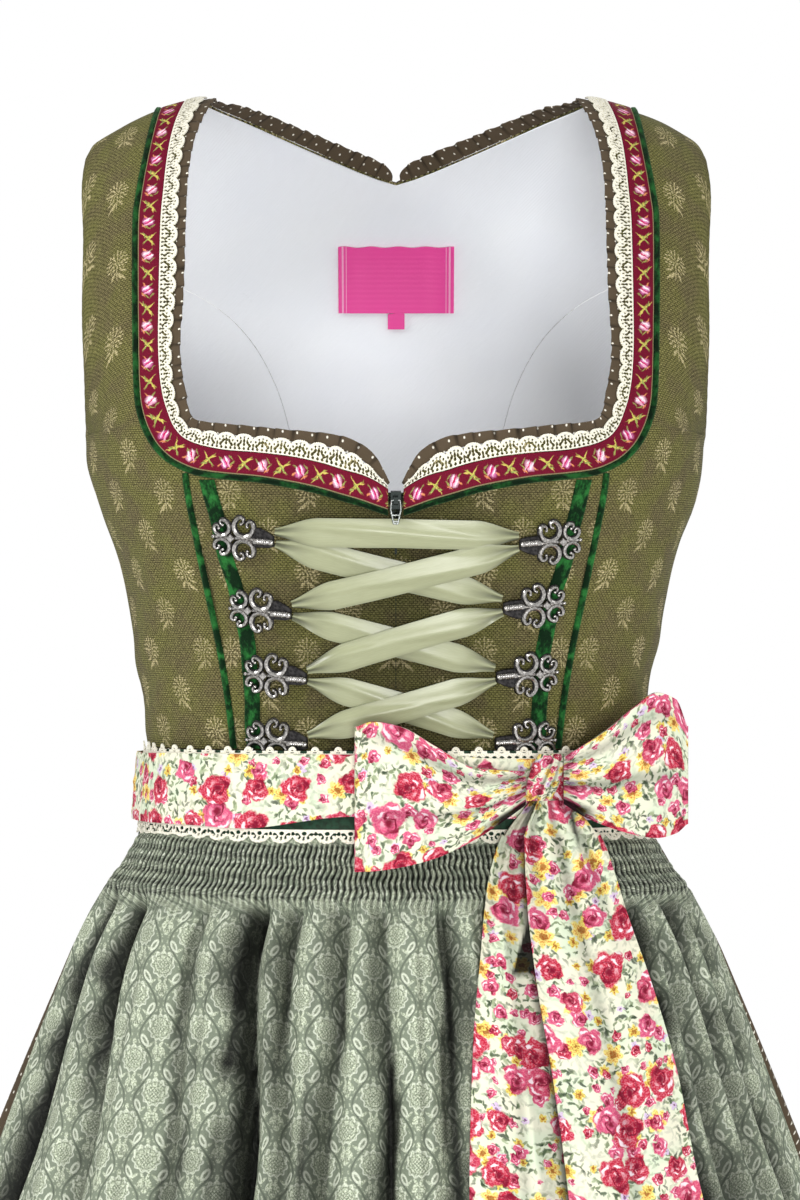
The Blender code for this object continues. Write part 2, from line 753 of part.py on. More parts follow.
def hooks():
    holes = [circle(x, y, inner, SCROLL_SIDES) for x, y, outer, inner in SCROLLS]
    mesh = plate("hook", [hook_outline(), *holes], HOOK_THICKNESS)
    mesh.materials.append(material("antique_silver"))
    for name, (side, tip, height) in HOOKS.items():
        angle, level = place(side * (tip + HOOK_LENGTH / 2), height)
        middle_out = HOOK_OUT + HOOK_THICKNESS / 2
        made = bpy.data.objects.new(f"hook_{name}", mesh)
        made.matrix_world = local_frame(angle, level, middle_out, Vector((-side, 0, 0)), -SEAM / 2)
        bpy.data.collections["dirndl_dress"].objects.link(made)


LACE_WIDTH = 14.5
PINCH = 6.0  # width of the ribbon where a hook gathers it
PINCH_LENGTH = 34.0
DROP = 4.1  # half the distance between the two ribbon ends at one hook
# Each stretch: hook it leaves, hook it reaches, each end's place (1 upper, -1 lower), and 1 if on top.
LACING = (
    ("l1", "r1", 1, 1, 1),
    ("l1", "r2", -1, 1, 0),
    ("r1", "l2", -1, 1, 1),
    ("l2", "r3", -1, 1, 0),
    ("r2", "l3", -1, 1, 1),
    ("l3", "r4", -1, 1, 0),
    ("r3", "l4", -1, 1, 1),
)


def hook_tip(name, place_at_hook):
    side, tip, height = HOOKS[name]
    return Vector((side * (tip - 0.9), height + place_at_hook * DROP))


def lacing():
    for number, (start, end, start_place, end_place, on_top) in enumerate(LACING, 1):
        first, last = hook_tip(start, start_place), hook_tip(end, end_place)
        along = (last - first).normalized()
        across = Vector((-along.y, along.x))
        length = (last - first).length
        rows = []
        for share in spread(8):
            nearest = min(share, 1 - share) * length
            width = PINCH + (LACE_WIDTH - PINCH) * ease(nearest / PINCH_LENGTH)
            middle = first.lerp(last, share)
            rows.append([place(*(middle + across * width * half)) for half in (-0.5, 0.0, 0.5)])
        panel(f"lacing_{number}", "satin", rows, (2.0 if on_top else 0.5) + RIBBON, RIBBON, -SEAM / 2)


# ---------------------------------------------------------------- zip

ZIP_TAPE = {"x": 12.0, "height": (2.0, 131.0)}
SLIDER_HEIGHT = 127.5
SLIDER = {"width": 5.2, "length": 9.0, "thickness": 3.2, "out": -1.0}
SLIDER_TOP = SLIDER["out"] + SLIDER["thickness"]
BRIDGE = {"width": 2.2, "length": 4.6, "height": 3.0, "bar": 0.8}
BRIDGE_CLEAR = 0.3  # from the slider's top to the bridge's opening
PULL = {"top": 4.2, "bottom": 5.4, "shoulder": -5.0, "length": 12.4, "cross": 7.4}
PULL_WIRE = {"width": 1.0, "thickness": 0.9}


def zip_tape():
    rows = [
        [place(x, height) for x in spread(2, -ZIP_TAPE["x"], ZIP_TAPE["x"])]
        for height in spread(7, *ZIP_TAPE["height"])
    ]
    panel("zip_tape", "zip_tape", rows, -CLOTH - 0.7, TRIM, -SEAM / 2)


def zip_slider(frame):
    """The slider's body lies between the cloth's edges. A bridge stands on it and holds the pull."""
    body = bmesh.new()
    bmesh.ops.create_cube(body, size=1.0)
    size = Vector((SLIDER["width"], SLIDER["length"], SLIDER["thickness"])) * MM
    bmesh.ops.scale(body, vec=size, verts=body.verts)
    middle = SLIDER["out"] + SLIDER["thickness"] / 2
    bmesh.ops.translate(body, vec=(0, 0, middle * MM), verts=body.verts)
    mesh = bpy.data.meshes.new("zip_slider")
    body.to_mesh(mesh)
    body.free()
    slider = add_object("zip_slider", mesh, "zip_metal")
    slider.matrix_world = frame

    foot, half, bar = SLIDER_TOP - 0.5, BRIDGE["length"] / 2, BRIDGE["bar"]
    top, bevel = SLIDER_TOP + BRIDGE["height"], 0.6
    outside = [
        (-half, foot),
        (half, foot),
        (half, top - bevel),
        (half - bevel, top),
        (bevel - half, top),
        (-half, top - bevel),
    ]
    low, high = SLIDER_TOP + BRIDGE_CLEAR, top - bar
    hole = [(bar - half, low), (half - bar, low), (half - bar, high), (bar - half, high)]
    bridge = bpy.data.objects.new("zip_bridge", plate("zip_bridge", [outside, hole], BRIDGE["width"]))
    # The outline's x is up along the zip and its y is out of the cloth.
    bridge.matrix_world = frame @ Matrix(((0, 0, 1, 0), (1, 0, 0, 0), (0, 1, 0, 0), (0, 0, 0, 1)))
    bridge.hide_render = True
    bridge.display_type = "WIRE"
    bpy.data.collections["cutters"].objects.link(bridge)
    union = slider.modifiers.new("bridge", "BOOLEAN")
    union.operation = "UNION"
    union.object = bridge


def mirrored(half):
    """A closed outline from its right half, listed from the top down."""
    return [*half, *[(-x, y) for x, y in reversed(half)]]


def zip_pull(frame):
    """The pull hangs plumb from its top bar, which runs through the bridge. Its origin is the bar's axis."""
    wire, cross = PULL_WIRE["width"], PULL["cross"]
    low = wire / 2 - PULL["length"]
    top, bottom = PULL["top"] / 2, PULL["bottom"] / 2
    outline = mirrored([(top, wire / 2), (bottom, PULL["shoulder"]), (1.5, low)])
    upper = mirrored([(top - wire, -wire / 2), (bottom - wire, PULL["shoulder"]), (1.2, wire / 2 - cross)])
    lower = mirrored([(0.95, -cross - wire / 2), (0.55, low + wire)])
    mesh = plate("zip_pull", [outline, upper, lower], PULL_WIRE["thickness"])
    pull = add_object("zip_pull", mesh, "zip_metal")
    axis_out = SLIDER_TOP + (BRIDGE_CLEAR + BRIDGE["height"] - BRIDGE["bar"]) / 2
    # The outline's x is across and its y is up, so that the plate faces the front.
    facing_front = Matrix(((1, 0, 0), (0, 0, -1), (0, 1, 0))).to_4x4()
    pull.matrix_world = Matrix.Translation(frame @ Vector((0, 0, axis_out * MM))) @ facing_front


def zip_parts():
    frame = local_frame(0.0, SLIDER_HEIGHT, 0.0, Vector((1, 0, 0)), -SEAM / 2)
    zip_tape()
    zip_slider(frame)
    zip_pull(frame)


# ---------------------------------------------------------------- waistband, laces and sash

BELT_STEP = math.radians(80) / 12
FRONT_LIFT = 4.6  # how much further out the belt lies at the front, over the hooks


def belt_lift(angle):
    """The belt's extra distance, full across the front and none at the sides and back."""
    turn = abs(math.degrees(math.atan2(math.sin(angle), math.cos(angle))))
    return FRONT_LIFT * ease((78 - turn) / 24)


def belt(name, finish, low, high, out, thickness):
    """A band across the front, from one side to the other, between two heights."""
    rows = [[(step * BELT_STEP, height) for step in range(-12, 13)] for height in (low, high)]
    panel(name, finish, rows, lambda angle, level: out + belt_lift(angle), thickness)


def sash_wrap():
    """The sash runs all round; its lower edge rises and falls."""
    angles = [step * math.pi / SASH_STEPS for step in range(-SASH_STEPS, SASH_STEPS)]
    low = [(angle, SASH_LOW("height", math.degrees(angle))) for angle in angles]
    high = [(angle, SASH_HIGH) for angle in angles]
    panel(
        "sash_wrap",
        "rose_print",
        [low, high],
        lambda angle, level: SASH_OUT + CLOTH + belt_lift(angle),
        CLOTH,
        ring=True,
    )


BAND_OUT = 0.5  # underside of the apron's waistband
LACE_OUT = 2.1  # underside of the waist laces
SASH_OUT = 3.9  # underside of the sash
SASH_STEPS = 27
SASH_HIGH = -4.6
SASH_LOW = Table(
    "degrees height",
    (-180, -38),
    (-90, -38.6),
    (-49, -39.2),
    (-30, -39.8),
    (-9, -33),
    (20, -34),
    (90, -39),
    (180, -38),
)


def waist():
    belt("apron_waistband", "band_cloth", -44.7, -0.6, BAND_OUT + TRIM, TRIM)
    belt("band_lace_top", "lace", -9.0, 1.8, LACE_OUT + TRIM, TRIM)
    belt("band_lace_bottom", "lace", -49.5, -36.0, LACE_OUT + TRIM, TRIM)
    sash_wrap()


# ---------------------------------------------------------------- skirt and apron

SKIRT_FOLDS = 34
SKIRT_LOW = -700.0
APRON_LOW = -680.0
SKIRT_LEVELS = (-SEAM / 2, -45, -62, -90, -140, -220, -340, -500, SKIRT_LOW)
APRON_EDGE = Table(
    "height degrees", (-680, 69), (-330, 71), (-209, 73.5), (-125, 77.5), (-80, 79), (-45, 77)
)
# How far the skirt's folds stand out from the skin, and how far it is drawn in under the apron.
FOLD_DEPTH = Table(
    "height ridge cover",
    (-700, 14, 32),
    (-520, 12, 31),
    (-330, 9, 29),
    (-200, 6.5, 26),
    (-125, 5, 20),
    (-82, 3.5, 12),
    (-61, 2, 3.5),
    (-45, 0, 0),
    (0, 0, 0),
)


def skirt_turn(number):
    """Angle of a fold's ridge. The folds are uneven: they gather and spread round the waist."""
    even = 2 * math.pi * number / SKIRT_FOLDS
    return even + 0.035 * math.sin(2 * even + 0.7) + 0.022 * math.sin(5 * even + 2.1)


def skirt_out(angle, level, wave):
    """The skirt's outer face: folded where it shows, and drawn in under the apron."""
    turn = abs(math.degrees(math.atan2(math.sin(angle), math.cos(angle))))
    cover = ease((APRON_EDGE("degrees", level) - turn) / 6)
    ridge = FOLD_DEPTH("ridge", level)
    return ridge * wave * (1 - 0.9 * cover) - FOLD_DEPTH("cover", level) * cover


def skirt_panel(name, seams, first, shift):
    """Front or back of the skirt, between its side seams' angles. First is the number of its first fold."""
    numbers = spread(SKIRT_FOLDS, first, first + SKIRT_FOLDS / 2)
    moved = [seam - skirt_turn(number) for seam, number in zip(seams, (numbers[0], numbers[-1]))]
    waves = {}
    for share, number in zip(spread(SKIRT_FOLDS), numbers):
        angle = skirt_turn(number) + moved[0] * (1 - share) + moved[1] * share
        waves[angle] = math.cos(2 * math.pi * (number - first))
    rows = [[(angle, level) for angle in waves] for level in SKIRT_LEVELS]
    panel(
        name,
        "dotted_cloth",
        rows,
        lambda angle, level: skirt_out(angle, level, waves[angle]),
        CLOTH,
        shift,
    )


def skirt():
    quarter = math.pi / 2
    skirt_panel("skirt_front", (-quarter, quarter), -SKIRT_FOLDS / 4, -SEAM / 2)
    skirt_panel("skirt_back", (quarter, 3 * quarter), SKIRT_FOLDS / 4, SEAM / 2)


RIBS = 64
RIB_HEIGHT = 1.7
SMOCK_LEVELS = (-46.8, -50.5, -60, -72, -79)
APRON_LEVELS = (-88, -102, -130, -180, -260, -370, -520, APRON_LOW)
SMOCK_INNER_COLUMNS = 28
# The apron's folds: angle of each trough just under the smocking and further down, in degrees, and its
# depth there. The ridges between them stay on the skirt's outline.
APRON_FOLDS = (
    # high, low, depth high, depth low
    (-69.5, -61.5, 8, 9),
    (-58.0, -48.0, 11, 5),
    (-39.0, -33.0, 5, 6),
    (-26.0, -20.5, 13, 15),
    (-20.0, -16.0, 7, 5),
    (-9.0, -9.8, 7, 8),
    (-3.0, -0.5, 6, 9),
    (8.5, 7.5, 8, 8),
    (18.5, 19.0, 6, 8),
    (28.0, 28.5, 7, 8),
    (38.0, 36.0, 6, 7),
    (47.5, 43.0, 11, 14),
    (54.5, 51.5, 4, 8),
    (62.0, 58.5, 10, 5),
    (71.0, 65.0, 5, 8),
)
APRON_GAP = 0.5  # the apron's plain inner face above the skirt, at the waistband


def apron_base(angle, level):
    """The apron's outer face without ribs or folds: over the band above, over the skirt's folds below."""
    fade = ease((level + 79) / 30)
    on_band = APRON_GAP + CLOTH + belt_lift(angle)
    on_skirt = FOLD_DEPTH("ridge", level) + 0.4 + CLOTH
    return on_band * fade + on_skirt * (1 - fade)


def apron_columns(level):
    """(angle, fold) along a row of the apron under the smocking: the edge, then each trough and ridge."""
    lower = ease((-level - 90) / 120)
    growth = ease((-level - 76) / 22)
    spots = [
        (high + (low - high) * lower, (depth_high + (depth_low - depth_high) * lower) * growth)
        for high, low, depth_high, depth_low in APRON_FOLDS
    ]
    edge = APRON_EDGE("degrees", level)
    ends = [-edge] + [(a[0] + b[0]) / 2 for a, b in zip(spots, spots[1:])] + [edge]
    columns = [(-edge, 0.0)]
    for (middle, depth), before, after in zip(spots, ends, ends[1:]):
        columns.append((middle - min(2.4, 0.55 * (middle - before)), -0.35 * depth))
        columns.append((middle, -depth))
        columns.append((middle + min(2.4, 0.55 * (after - middle)), -0.35 * depth))
        columns.append((after, 0.0))
    return [(math.radians(angle), fold) for angle, fold in columns]


def apron():
    outer, inner = [], []
    for level in SMOCK_LEVELS:
        edge = math.radians(APRON_EDGE("degrees", level))
        strength = ease((-level - 50) / 7) * (1 - 0.5 * ease((-level - 70) / 10))
        row = []
        for i in range(2 * RIBS + 1):
            angle = -edge + 2 * edge * i / (2 * RIBS)
            row.append(off_skin(angle, level, apron_base(angle, level) + (i % 2) * RIB_HEIGHT * strength))
        outer.append(row)
        columns = spread(SMOCK_INNER_COLUMNS, -edge, edge)
        inner.append([off_skin(angle, level, apron_base(angle, level) - CLOTH) for angle in columns])
    for level in APRON_LEVELS:
        columns = [(angle, apron_base(angle, level) + fold) for angle, fold in apron_columns(level)]
        outer.append([off_skin(angle, level, out) for angle, out in columns])
        inner.append([off_skin(angle, level, out - CLOTH) for angle, out in columns])
    wall("apron", "damask", outer, inner)


# ---------------------------------------------------------------- bow

BOW_OUT = 13.0  # the left loop's inner face above the skin, over the sash and the tails
KNOT = {"x": (66.5, 85.0), "height": (-25.0, -1.5), "out": 10.3, "edge": 5.7, "depth": 17.7}
# Left loop from its fold to the knot: x, the ribbon's lower and upper edge, and the space in the loop.
LEFT_LOOP = Table(
    "x low high space",
    (-19.5, -60.0, 13.0, 5.0),
    (-12.0, -59.5, 15.5, 9.0),
    (2.0, -57.5, 13.0, 11.0),
    (20.0, -53.0, 3.0, 10.0),
    (40.0, -44.0, -8.0, 8.0),
    (56.0, -34.0, -9.5, 5.5),
    (66.0, -27.0, -10.0, 3.0),
)
RIGHT_LOOP = Table(
    "x low high space",
    (85.5, -27.0, -3.0, 3.0),
    (96.0, -33.5, 3.0, 7.0),
    (109.0, -39.0, 11.5, 10.0),
    (122.0, -43.0, 22.0, 11.0),
    (134.0, -45.0, 29.5, 10.0),
    (144.0, -43.0, 26.0, 6.0),
    (150.0, -38.5, 12.0, 2.5),
)


def before_skin(x, height, out):
    """Y of the point that lies this far out from the skin, straight in front of x and height."""
    angle, level = place(x, height)
    return skin(angle, level).y + out / outward(angle, level).y


def left_back_layer(x, height):
    return before_skin(x, height, BOW_OUT)


def right_back_layer(x, height):
    """The right loop leaves the dress and stands out past its side."""
    return -96.5 + 0.43 * (x - 84.0)


def bow_loop(name, sizes, back_layer, fold_at_low):
    """A ribbon folded back on itself: a flat tube, open above and below, closed at its far end."""
    xs = list(sizes.keys if fold_at_low else sizes.keys[::-1])
    # The path runs along the front layer, round the fold at xs[0] and back along the layer behind.
    stops = [(x, 1.0) for x in reversed(xs)] + [(x, 0.0) for x in xs]
    rows_outer, rows_inner = [], []
    for v in spread(5):
        outer, inner = [], []
        for i, (x, layer) in enumerate(stops):
            height = sizes("low", x) * (1 - v) + sizes("high", x) * v
            back = back_layer(x, height)
            space = sizes("space", x)
            y = back - CLOTH - layer * space
            outward_y = -CLOTH if layer else 0.0
            inset = 0.0 if i not in (len(xs) - 1, len(xs)) else CLOTH * (1 if fold_at_low else -1)
            outer.append(Vector((x, y + outward_y if layer else back, height)))
            inner.append(Vector((x + inset, y, height)))
        rows_outer.append(outer)
        rows_inner.append(inner)
    return wall(name, "rose_print", rows_outer, rows_inner)


def knot():
    """The sash's wrap over the crossing: a rounded block of cloth as wide as it is pinched."""
    (left, right), (low, high) = KNOT["x"], KNOT["height"]
    rows_outer, rows_inner = [], []
    for v in spread(4):
        height = low + (high - low) * v
        bulge = math.sin(math.pi * (0.12 + 0.76 * v))
        outer, inner = [], []
        for u in spread(5):
            x = left + (right - left) * u
            back = before_skin(x, height, KNOT["out"])
            round_off = math.sin(math.pi * (0.16 + 0.68 * u)) * bulge
            depth = KNOT["edge"] + (KNOT["depth"] - KNOT["edge"]) * round_off
            inner.append(Vector((x, back, height)))
            outer.append(Vector((x, back - depth, height)))
        rows_outer.append(outer)
        rows_inner.append(inner)
    wall("bow_knot", "rose_print", rows_outer, rows_inner)


TAILS = {
    # height: left edge, right edge, distance out from the apron's ridges
    "bow_tail_l": Table(
        "height left right out",
        (-540, 58, 152, 2.0),
        (-400, 44, 124, 2.0),
        (-300, 37, 104, 2.0),
        (-218, 35, 88, 2.1),
        (-149, 37, 80, 2.2),
        (-101, 41.5, 75, 2.5),
        (-68, 45, 71, 4.8),
        (-46, 51, 69, 8.4),
        (-28, 64, 72, 8.4),
    ),
    "bow_tail_r": Table(
        "height left right out",
        (-560, 118, 232, 5.2),
        (-400, 98, 190, 5.2),
        (-300, 87, 164, 5.3),
        (-220, 80.8, 143, 5.4),
        (-165, 74, 133, 5.5),
        (-124, 67.5, 122, 5.7),
        (-90, 63.4, 110.5, 6.8),
        (-69, 62, 104, 8.0),
        (-46, 61, 95.5, 10.2),
        (-31, 66, 83.0, 10.2),
    ),
}
TAIL_FOLD = 1.6


def tails():
    for name, sizes in TAILS.items():
        lowest, highest = sizes.keys[0], sizes.keys[-1]
        outer, inner = [], []
        for v in spread(12):
            height = highest + (lowest - highest) * v**1.25
            left, right = sizes("left", height), sizes("right", height)
            on_apron = FOLD_DEPTH("ridge", height) + 0.4 + CLOTH
            fold = TAIL_FOLD * ease((-height - 60) / 40)
            row = []
            for u in spread(4):
                wave = fold * (1 - math.cos(4 * math.pi * u)) / 2
                spot = place(left + (right - left) * u, height)
                row.append((*spot, on_apron + sizes("out", height) + wave))
            outer.append([off_skin(angle, level, out + CLOTH) for angle, level, out in row])
            inner.append([off_skin(angle, level, out) for angle, level, out in row])
        wall(name, "rose_print", outer, inner)


def bow():
    bow_loop("bow_loop_l", LEFT_LOOP, left_back_layer, True)
    bow_loop("bow_loop_r", RIGHT_LOOP, right_back_layer, False)
    knot()
    tails()


def clear_scene():
    for thing in list(bpy.data.objects):
        bpy.data.objects.remove(thing)
    for name in ("dirndl_dress", "cutters"):
        group = bpy.data.collections.get(name) or bpy.data.collections.new(name)
        if group.name not in bpy.context.scene.collection.children:
            bpy.context.scene.collection.children.link(group)


def main():
    clear_scene()
    bodice()
    label()
    neck_trims()
    frills()
    seam_trims()
    hooks()
    lacing()
    zip_parts()
    waist()
    skirt()
    apron()
    bow()


main()
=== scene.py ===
# %% [markdown]
# # A dirndl, sewn up piece by piece
#
# A dirndl is a fitted bodice on a gathered skirt, worn with an apron. This lesson makes the cloth,
# braid, lace, silver hooks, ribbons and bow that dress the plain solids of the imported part. Sizes
# are in millimetres: height 0 is the waist seam, -Y is the front and +X is the viewer's right.

import math
from math import pi

import bpy
import numpy as np
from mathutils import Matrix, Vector


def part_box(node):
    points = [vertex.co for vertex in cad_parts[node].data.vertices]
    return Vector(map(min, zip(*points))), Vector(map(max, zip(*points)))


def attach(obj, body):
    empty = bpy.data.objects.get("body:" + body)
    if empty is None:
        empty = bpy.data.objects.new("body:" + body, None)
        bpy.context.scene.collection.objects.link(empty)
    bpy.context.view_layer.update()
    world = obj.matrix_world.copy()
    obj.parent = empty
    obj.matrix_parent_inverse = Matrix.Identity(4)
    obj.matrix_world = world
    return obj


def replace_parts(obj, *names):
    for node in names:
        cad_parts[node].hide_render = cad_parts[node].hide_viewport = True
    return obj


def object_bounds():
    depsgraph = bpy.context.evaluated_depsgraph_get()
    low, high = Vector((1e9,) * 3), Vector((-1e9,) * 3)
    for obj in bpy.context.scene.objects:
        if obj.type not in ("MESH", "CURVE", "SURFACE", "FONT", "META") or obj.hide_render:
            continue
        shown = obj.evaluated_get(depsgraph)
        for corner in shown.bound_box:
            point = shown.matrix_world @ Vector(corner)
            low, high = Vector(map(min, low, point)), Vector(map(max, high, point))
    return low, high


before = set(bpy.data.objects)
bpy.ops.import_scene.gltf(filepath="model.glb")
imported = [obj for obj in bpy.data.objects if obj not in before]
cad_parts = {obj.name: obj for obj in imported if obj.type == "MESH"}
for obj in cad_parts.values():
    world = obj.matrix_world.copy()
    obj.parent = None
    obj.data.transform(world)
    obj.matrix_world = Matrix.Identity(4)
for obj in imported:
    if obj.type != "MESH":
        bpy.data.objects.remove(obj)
BOX_OF_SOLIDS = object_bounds()
print("box of the solids:", [[round(float(v), 4) for v in corner] for corner in BOX_OF_SOLIDS])

# %% [markdown]
# ## The garment's skin
#
# A cutter drapes cloth on a stand. Here the stand is a table of cross-sections, and its surface,
# the skin, is the outer face of the bodice. Every other layer is given by its distance from the
# skin, so that lace lies on cloth and a ribbon on lace without touching.

# %% Sizes and tables
MM = 0.001
SHOULDER_HEIGHT = 332  # the part's origin above the waist seam
SEAM = 0.3
TO_FRONT, TO_BACK = -SEAM / 2, SEAM / 2  # the Y shift of the bodice's front and back
CLOTH = 1.2
UNDERARM = 162
CREST = 342  # the shoulder seam
LEAST_SIDE, LEAST_SHARE = 0.0101, 0.31  # of a cut, in metres, and of it that a piece takes up
STRAIGHT = (-62, 25)  # levels at the waist between which the skin runs straight


def ease(t):
    """0 to 1 with no slope at either end."""
    t = np.clip(t, 0, 1)
    return t * t * (3 - 2 * t)


def bump(distance, width):
    """1 in the middle of a fold and fading to 0 beyond its width."""
    return np.exp(-((distance / width) ** 2))


def pair(first, second):
    """Two numbers a point, such as an angle and a level."""
    return np.stack(np.broadcast_arrays(first, second), -1)


def like(*values):
    """The values as arrays of one shape."""
    return np.broadcast_arrays(*(np.asarray(value, float) for value in values))


def rows_of(text):
    """The numbers of a written table, row by row."""
    return np.array([row.split() for row in text.strip().replace(";", "\n").splitlines()], float)


class Table:
    """Rows of sizes under named columns, read smoothly by the first one and without overshoot."""

    def __init__(self, text):
        names, *rows = (row.split() for row in text.replace(";", "\n").strip().splitlines())
        values = np.array(rows, float).T
        self.keys, self.values = values[0], dict(zip(names, values))
        self.slopes = {name: self.slopes_of(value) for name, value in self.values.items()}

    def slopes_of(self, value):
        steps = np.diff(value) / np.diff(self.keys)
        inside = [2 * a * b / (a + b) if a * b > 0 else 0 for a, b in zip(steps, steps[1:])]
        return np.array([steps[0], *inside, steps[-1]])

    def __call__(self, column, key):
        key = np.clip(np.asarray(key, float), self.keys[0], self.keys[-1])
        i = np.clip(np.searchsorted(self.keys, key, side="right") - 1, 0, len(self.keys) - 2)
        span = self.keys[i + 1] - self.keys[i]
        t = (key - self.keys[i]) / span
        value, slope = self.values[column], self.slopes[column]
        return (
            value[i] * (2 * t**3 - 3 * t**2 + 1)
            + slope[i] * span * (t**3 - 2 * t**2 + t)
            + value[i + 1] * (3 * t**2 - 2 * t**3)
            + slope[i + 1] * span * (t**3 - t**2)
        )


BODY = Table("""
height width front back square
-700 369 326 334 2.05
-620 348 304 312 2.05
-520 318 276 284 2.05
-420 286 248 256 2.05
-330 254 218 224 2.1
-260 228.5 194 197 2.1
-209 209 176 178 2.1
-167 192.5 162 162 2.1
-125 175.5 145 144 2.1
-103 166.5 134 133 2.1
-82 155.5 121 121 2.1
-62 143.5 110.5 107.5 2.15
-45 135.4 104 97 2.15
0 131.6 98.7 91.2 2.2
25 133.6 102.2 92.1 2.25
45 136 107 94 2.3
66 140 113 97 2.35
87 144.5 119 100 2.4
109 150 125 103 2.45
130 155.5 129 106 2.5
150 161 130 108 2.5
162 163.5 129 109 2.5
180 168.5 126 111 2.5
200 174 121 113 2.45
220 179 115 113 2.4
240 182 109 112 2.4
280 185 97 107 2.4
320 184 85 98 2.4
342 183 80 94 2.4
""")
SHOULDER = Table("""
x height
0 343
60 343
102 342
124 336.6
139 331
149 326
158.5 320.5
165 316
175 309
190 300
""")


def shoulder(x):
    return SHOULDER("height", np.abs(x))


def section(column, level):
    """A size of the cross-section at a level."""
    straight = np.interp(level, BODY.keys, BODY.values[column])
    return np.where((level > STRAIGHT[0]) & (level < STRAIGHT[1]), straight, BODY(column, level))


def skin(angle, level):
    """The point at an angle round the garment, 0 at the front and pi at the back."""
    angle, level = like(angle, level)
    x = section("width", level) * np.sin(angle)
    front = np.cos(angle) > 0
    square = section("square", level)
    fullness = np.maximum(0, 1 - np.abs(np.sin(angle)) ** square) ** (1 / square)
    rise = np.clip((level - UNDERARM) / (CREST - UNDERARM), 0, 1)
    closing = (1 - rise**3) ** (1 / 2.2)
    depth = np.where(front, -section("front", level), section("back", level)) * fullness * closing
    height = np.where(level <= UNDERARM, level, UNDERARM + rise * (shoulder(x) - UNDERARM))
    return np.stack((x, depth, height), -1)


def place(x, height, back=False):
    """Angle and level of the skin's point that the front view shows at x and height."""
    x, height = like(x, height)
    above = UNDERARM + (height - UNDERARM) / (shoulder(x) - UNDERARM) * (CREST - UNDERARM)
    level = np.minimum(np.where(height > UNDERARM, above, height), CREST)
    angle = np.arcsin(np.clip(x / section("width", level), -1, 1))
    return (pi - angle if back else angle), level


def unit(vectors):
    return vectors / np.maximum(np.linalg.norm(vectors, axis=-1, keepdims=True), 1e-12)


def outward(angle, level):
    """The skin's normal."""
    step, top = 0.004, CREST - 0.5
    angle, level = like(angle, level)
    at = np.minimum(level, top)
    around = skin(angle + step, at) - skin(angle - step, at)
    up = skin(angle, at + 0.5) - skin(angle, at - 0.5)
    normal = unit(np.cross(around, up))
    normal[..., 1] = np.where(level > top, 0, normal[..., 1])
    return unit(normal)


def off_skin(angle, level, out, shift=0):
    """Points moved out from the skin, and the whole piece's shift in Y."""
    out = np.asarray(out, float)[..., None]
    return skin(angle, level) + outward(angle, level) * out + np.array((0, shift, 0))


def both_faces(angle, level, outer, inner, shift=0):
    """The outer and the inner face of a piece, given by their distances from the skin."""
    return [off_skin(angle, level, out, shift) for out in (outer, inner)]


steps = np.diff(skin(np.linspace(0, 2 * pi, 400), 0), axis=0)
print("waist girth:", round(np.linalg.norm(steps, axis=1).sum()), "mm")

# %% [markdown]
# ## Turning cloth into a mesh
#
# Cloth has two faces and an edge. Each piece is a grid of points for its outer face and one for
# its inner face, closed along the edges. Its UV map is the cloth laid flat, in metres, so a woven
# or printed pattern keeps its real size on every piece.

# %% Mesh tools
PIECES = []
SIDES = ((-1, "l"), (1, "r"))  # left and right, as seen from the front


def set_down(name, data):
    """A new object in the scene."""
    made = bpy.data.objects.new(name, data)
    bpy.context.scene.collection.objects.link(made)
    return made


def mesh_piece(name, points, faces, flat, look, body="dress", sharp=50, hollow=None):
    """A piece of the dress from points in millimetres. Flat gives each point's place on flat cloth.

    hollow, from 0 to 1, darkens each point's colour: painted shade for how deep in a fold or between
    two ribs it lies, and a darker tone on a few trims.
    """
    mesh = bpy.data.meshes.new(name)
    mesh.from_pydata((points - np.array((0, 0, SHOULDER_HEIGHT))) * MM, [], faces)
    loops = np.empty(len(mesh.loops), np.int32)
    mesh.loops.foreach_get("vertex_index", loops)
    layer = mesh.uv_layers.new(name="flat_cloth")
    layer.data.foreach_set("uv", (np.asarray(flat) * MM)[loops].astype(np.float32).ravel())
    if hollow is not None:
        kept = mesh.attributes.new("hollow", "FLOAT", "POINT")
        kept.data.foreach_set("value", np.clip(hollow, 0, 1).astype(np.float32))
    mesh.shade_smooth()
    mesh.set_sharp_from_angle(angle=math.radians(sharp))
    mesh.materials.append(look)
    piece = set_down(name, mesh)
    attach(piece, body)
    PIECES.append(piece)
    return piece


def grid(rows, columns, start=0, ring=False):
    """Quads over a grid of points. A ring's last column joins its first."""
    number = np.arange(rows * columns).reshape(rows, columns) + start
    if ring:
        number = np.hstack([number, number[:, :1]])
    corners = (number[:-1, :-1], number[:-1, 1:], number[1:, 1:], number[1:, :-1])
    return np.stack(corners, -1).reshape(-1, 4)


def strip(first, second):
    """Quads between two rows of point numbers."""
    return np.stack((first[:-1], first[1:], second[1:], second[:-1]), -1)


def right_way_out(points, faces):
    """The faces, turned round if the closed piece is inside out."""
    a, b, c, d = (points[faces[:, i]] for i in range(4))
    volume = np.einsum("ij,ij->i", a, np.cross(b, c)) + np.einsum("ij,ij->i", a, np.cross(c, d))
    return faces if volume.sum() > 0 else faces[:, ::-1]


def along_cloth(points, middle=0.5):
    """Each point's place on the flat cloth: across from the middle column and up each column."""
    across = np.cumsum(np.linalg.norm(np.diff(points, axis=1, prepend=points[:, :1]), axis=2), axis=1)
    up = np.cumsum(np.linalg.norm(np.diff(points, axis=0, prepend=points[:1]), axis=2), axis=0)
    column = round(middle * (points.shape[1] - 1))
    return pair(across - across[:, column : column + 1], up)


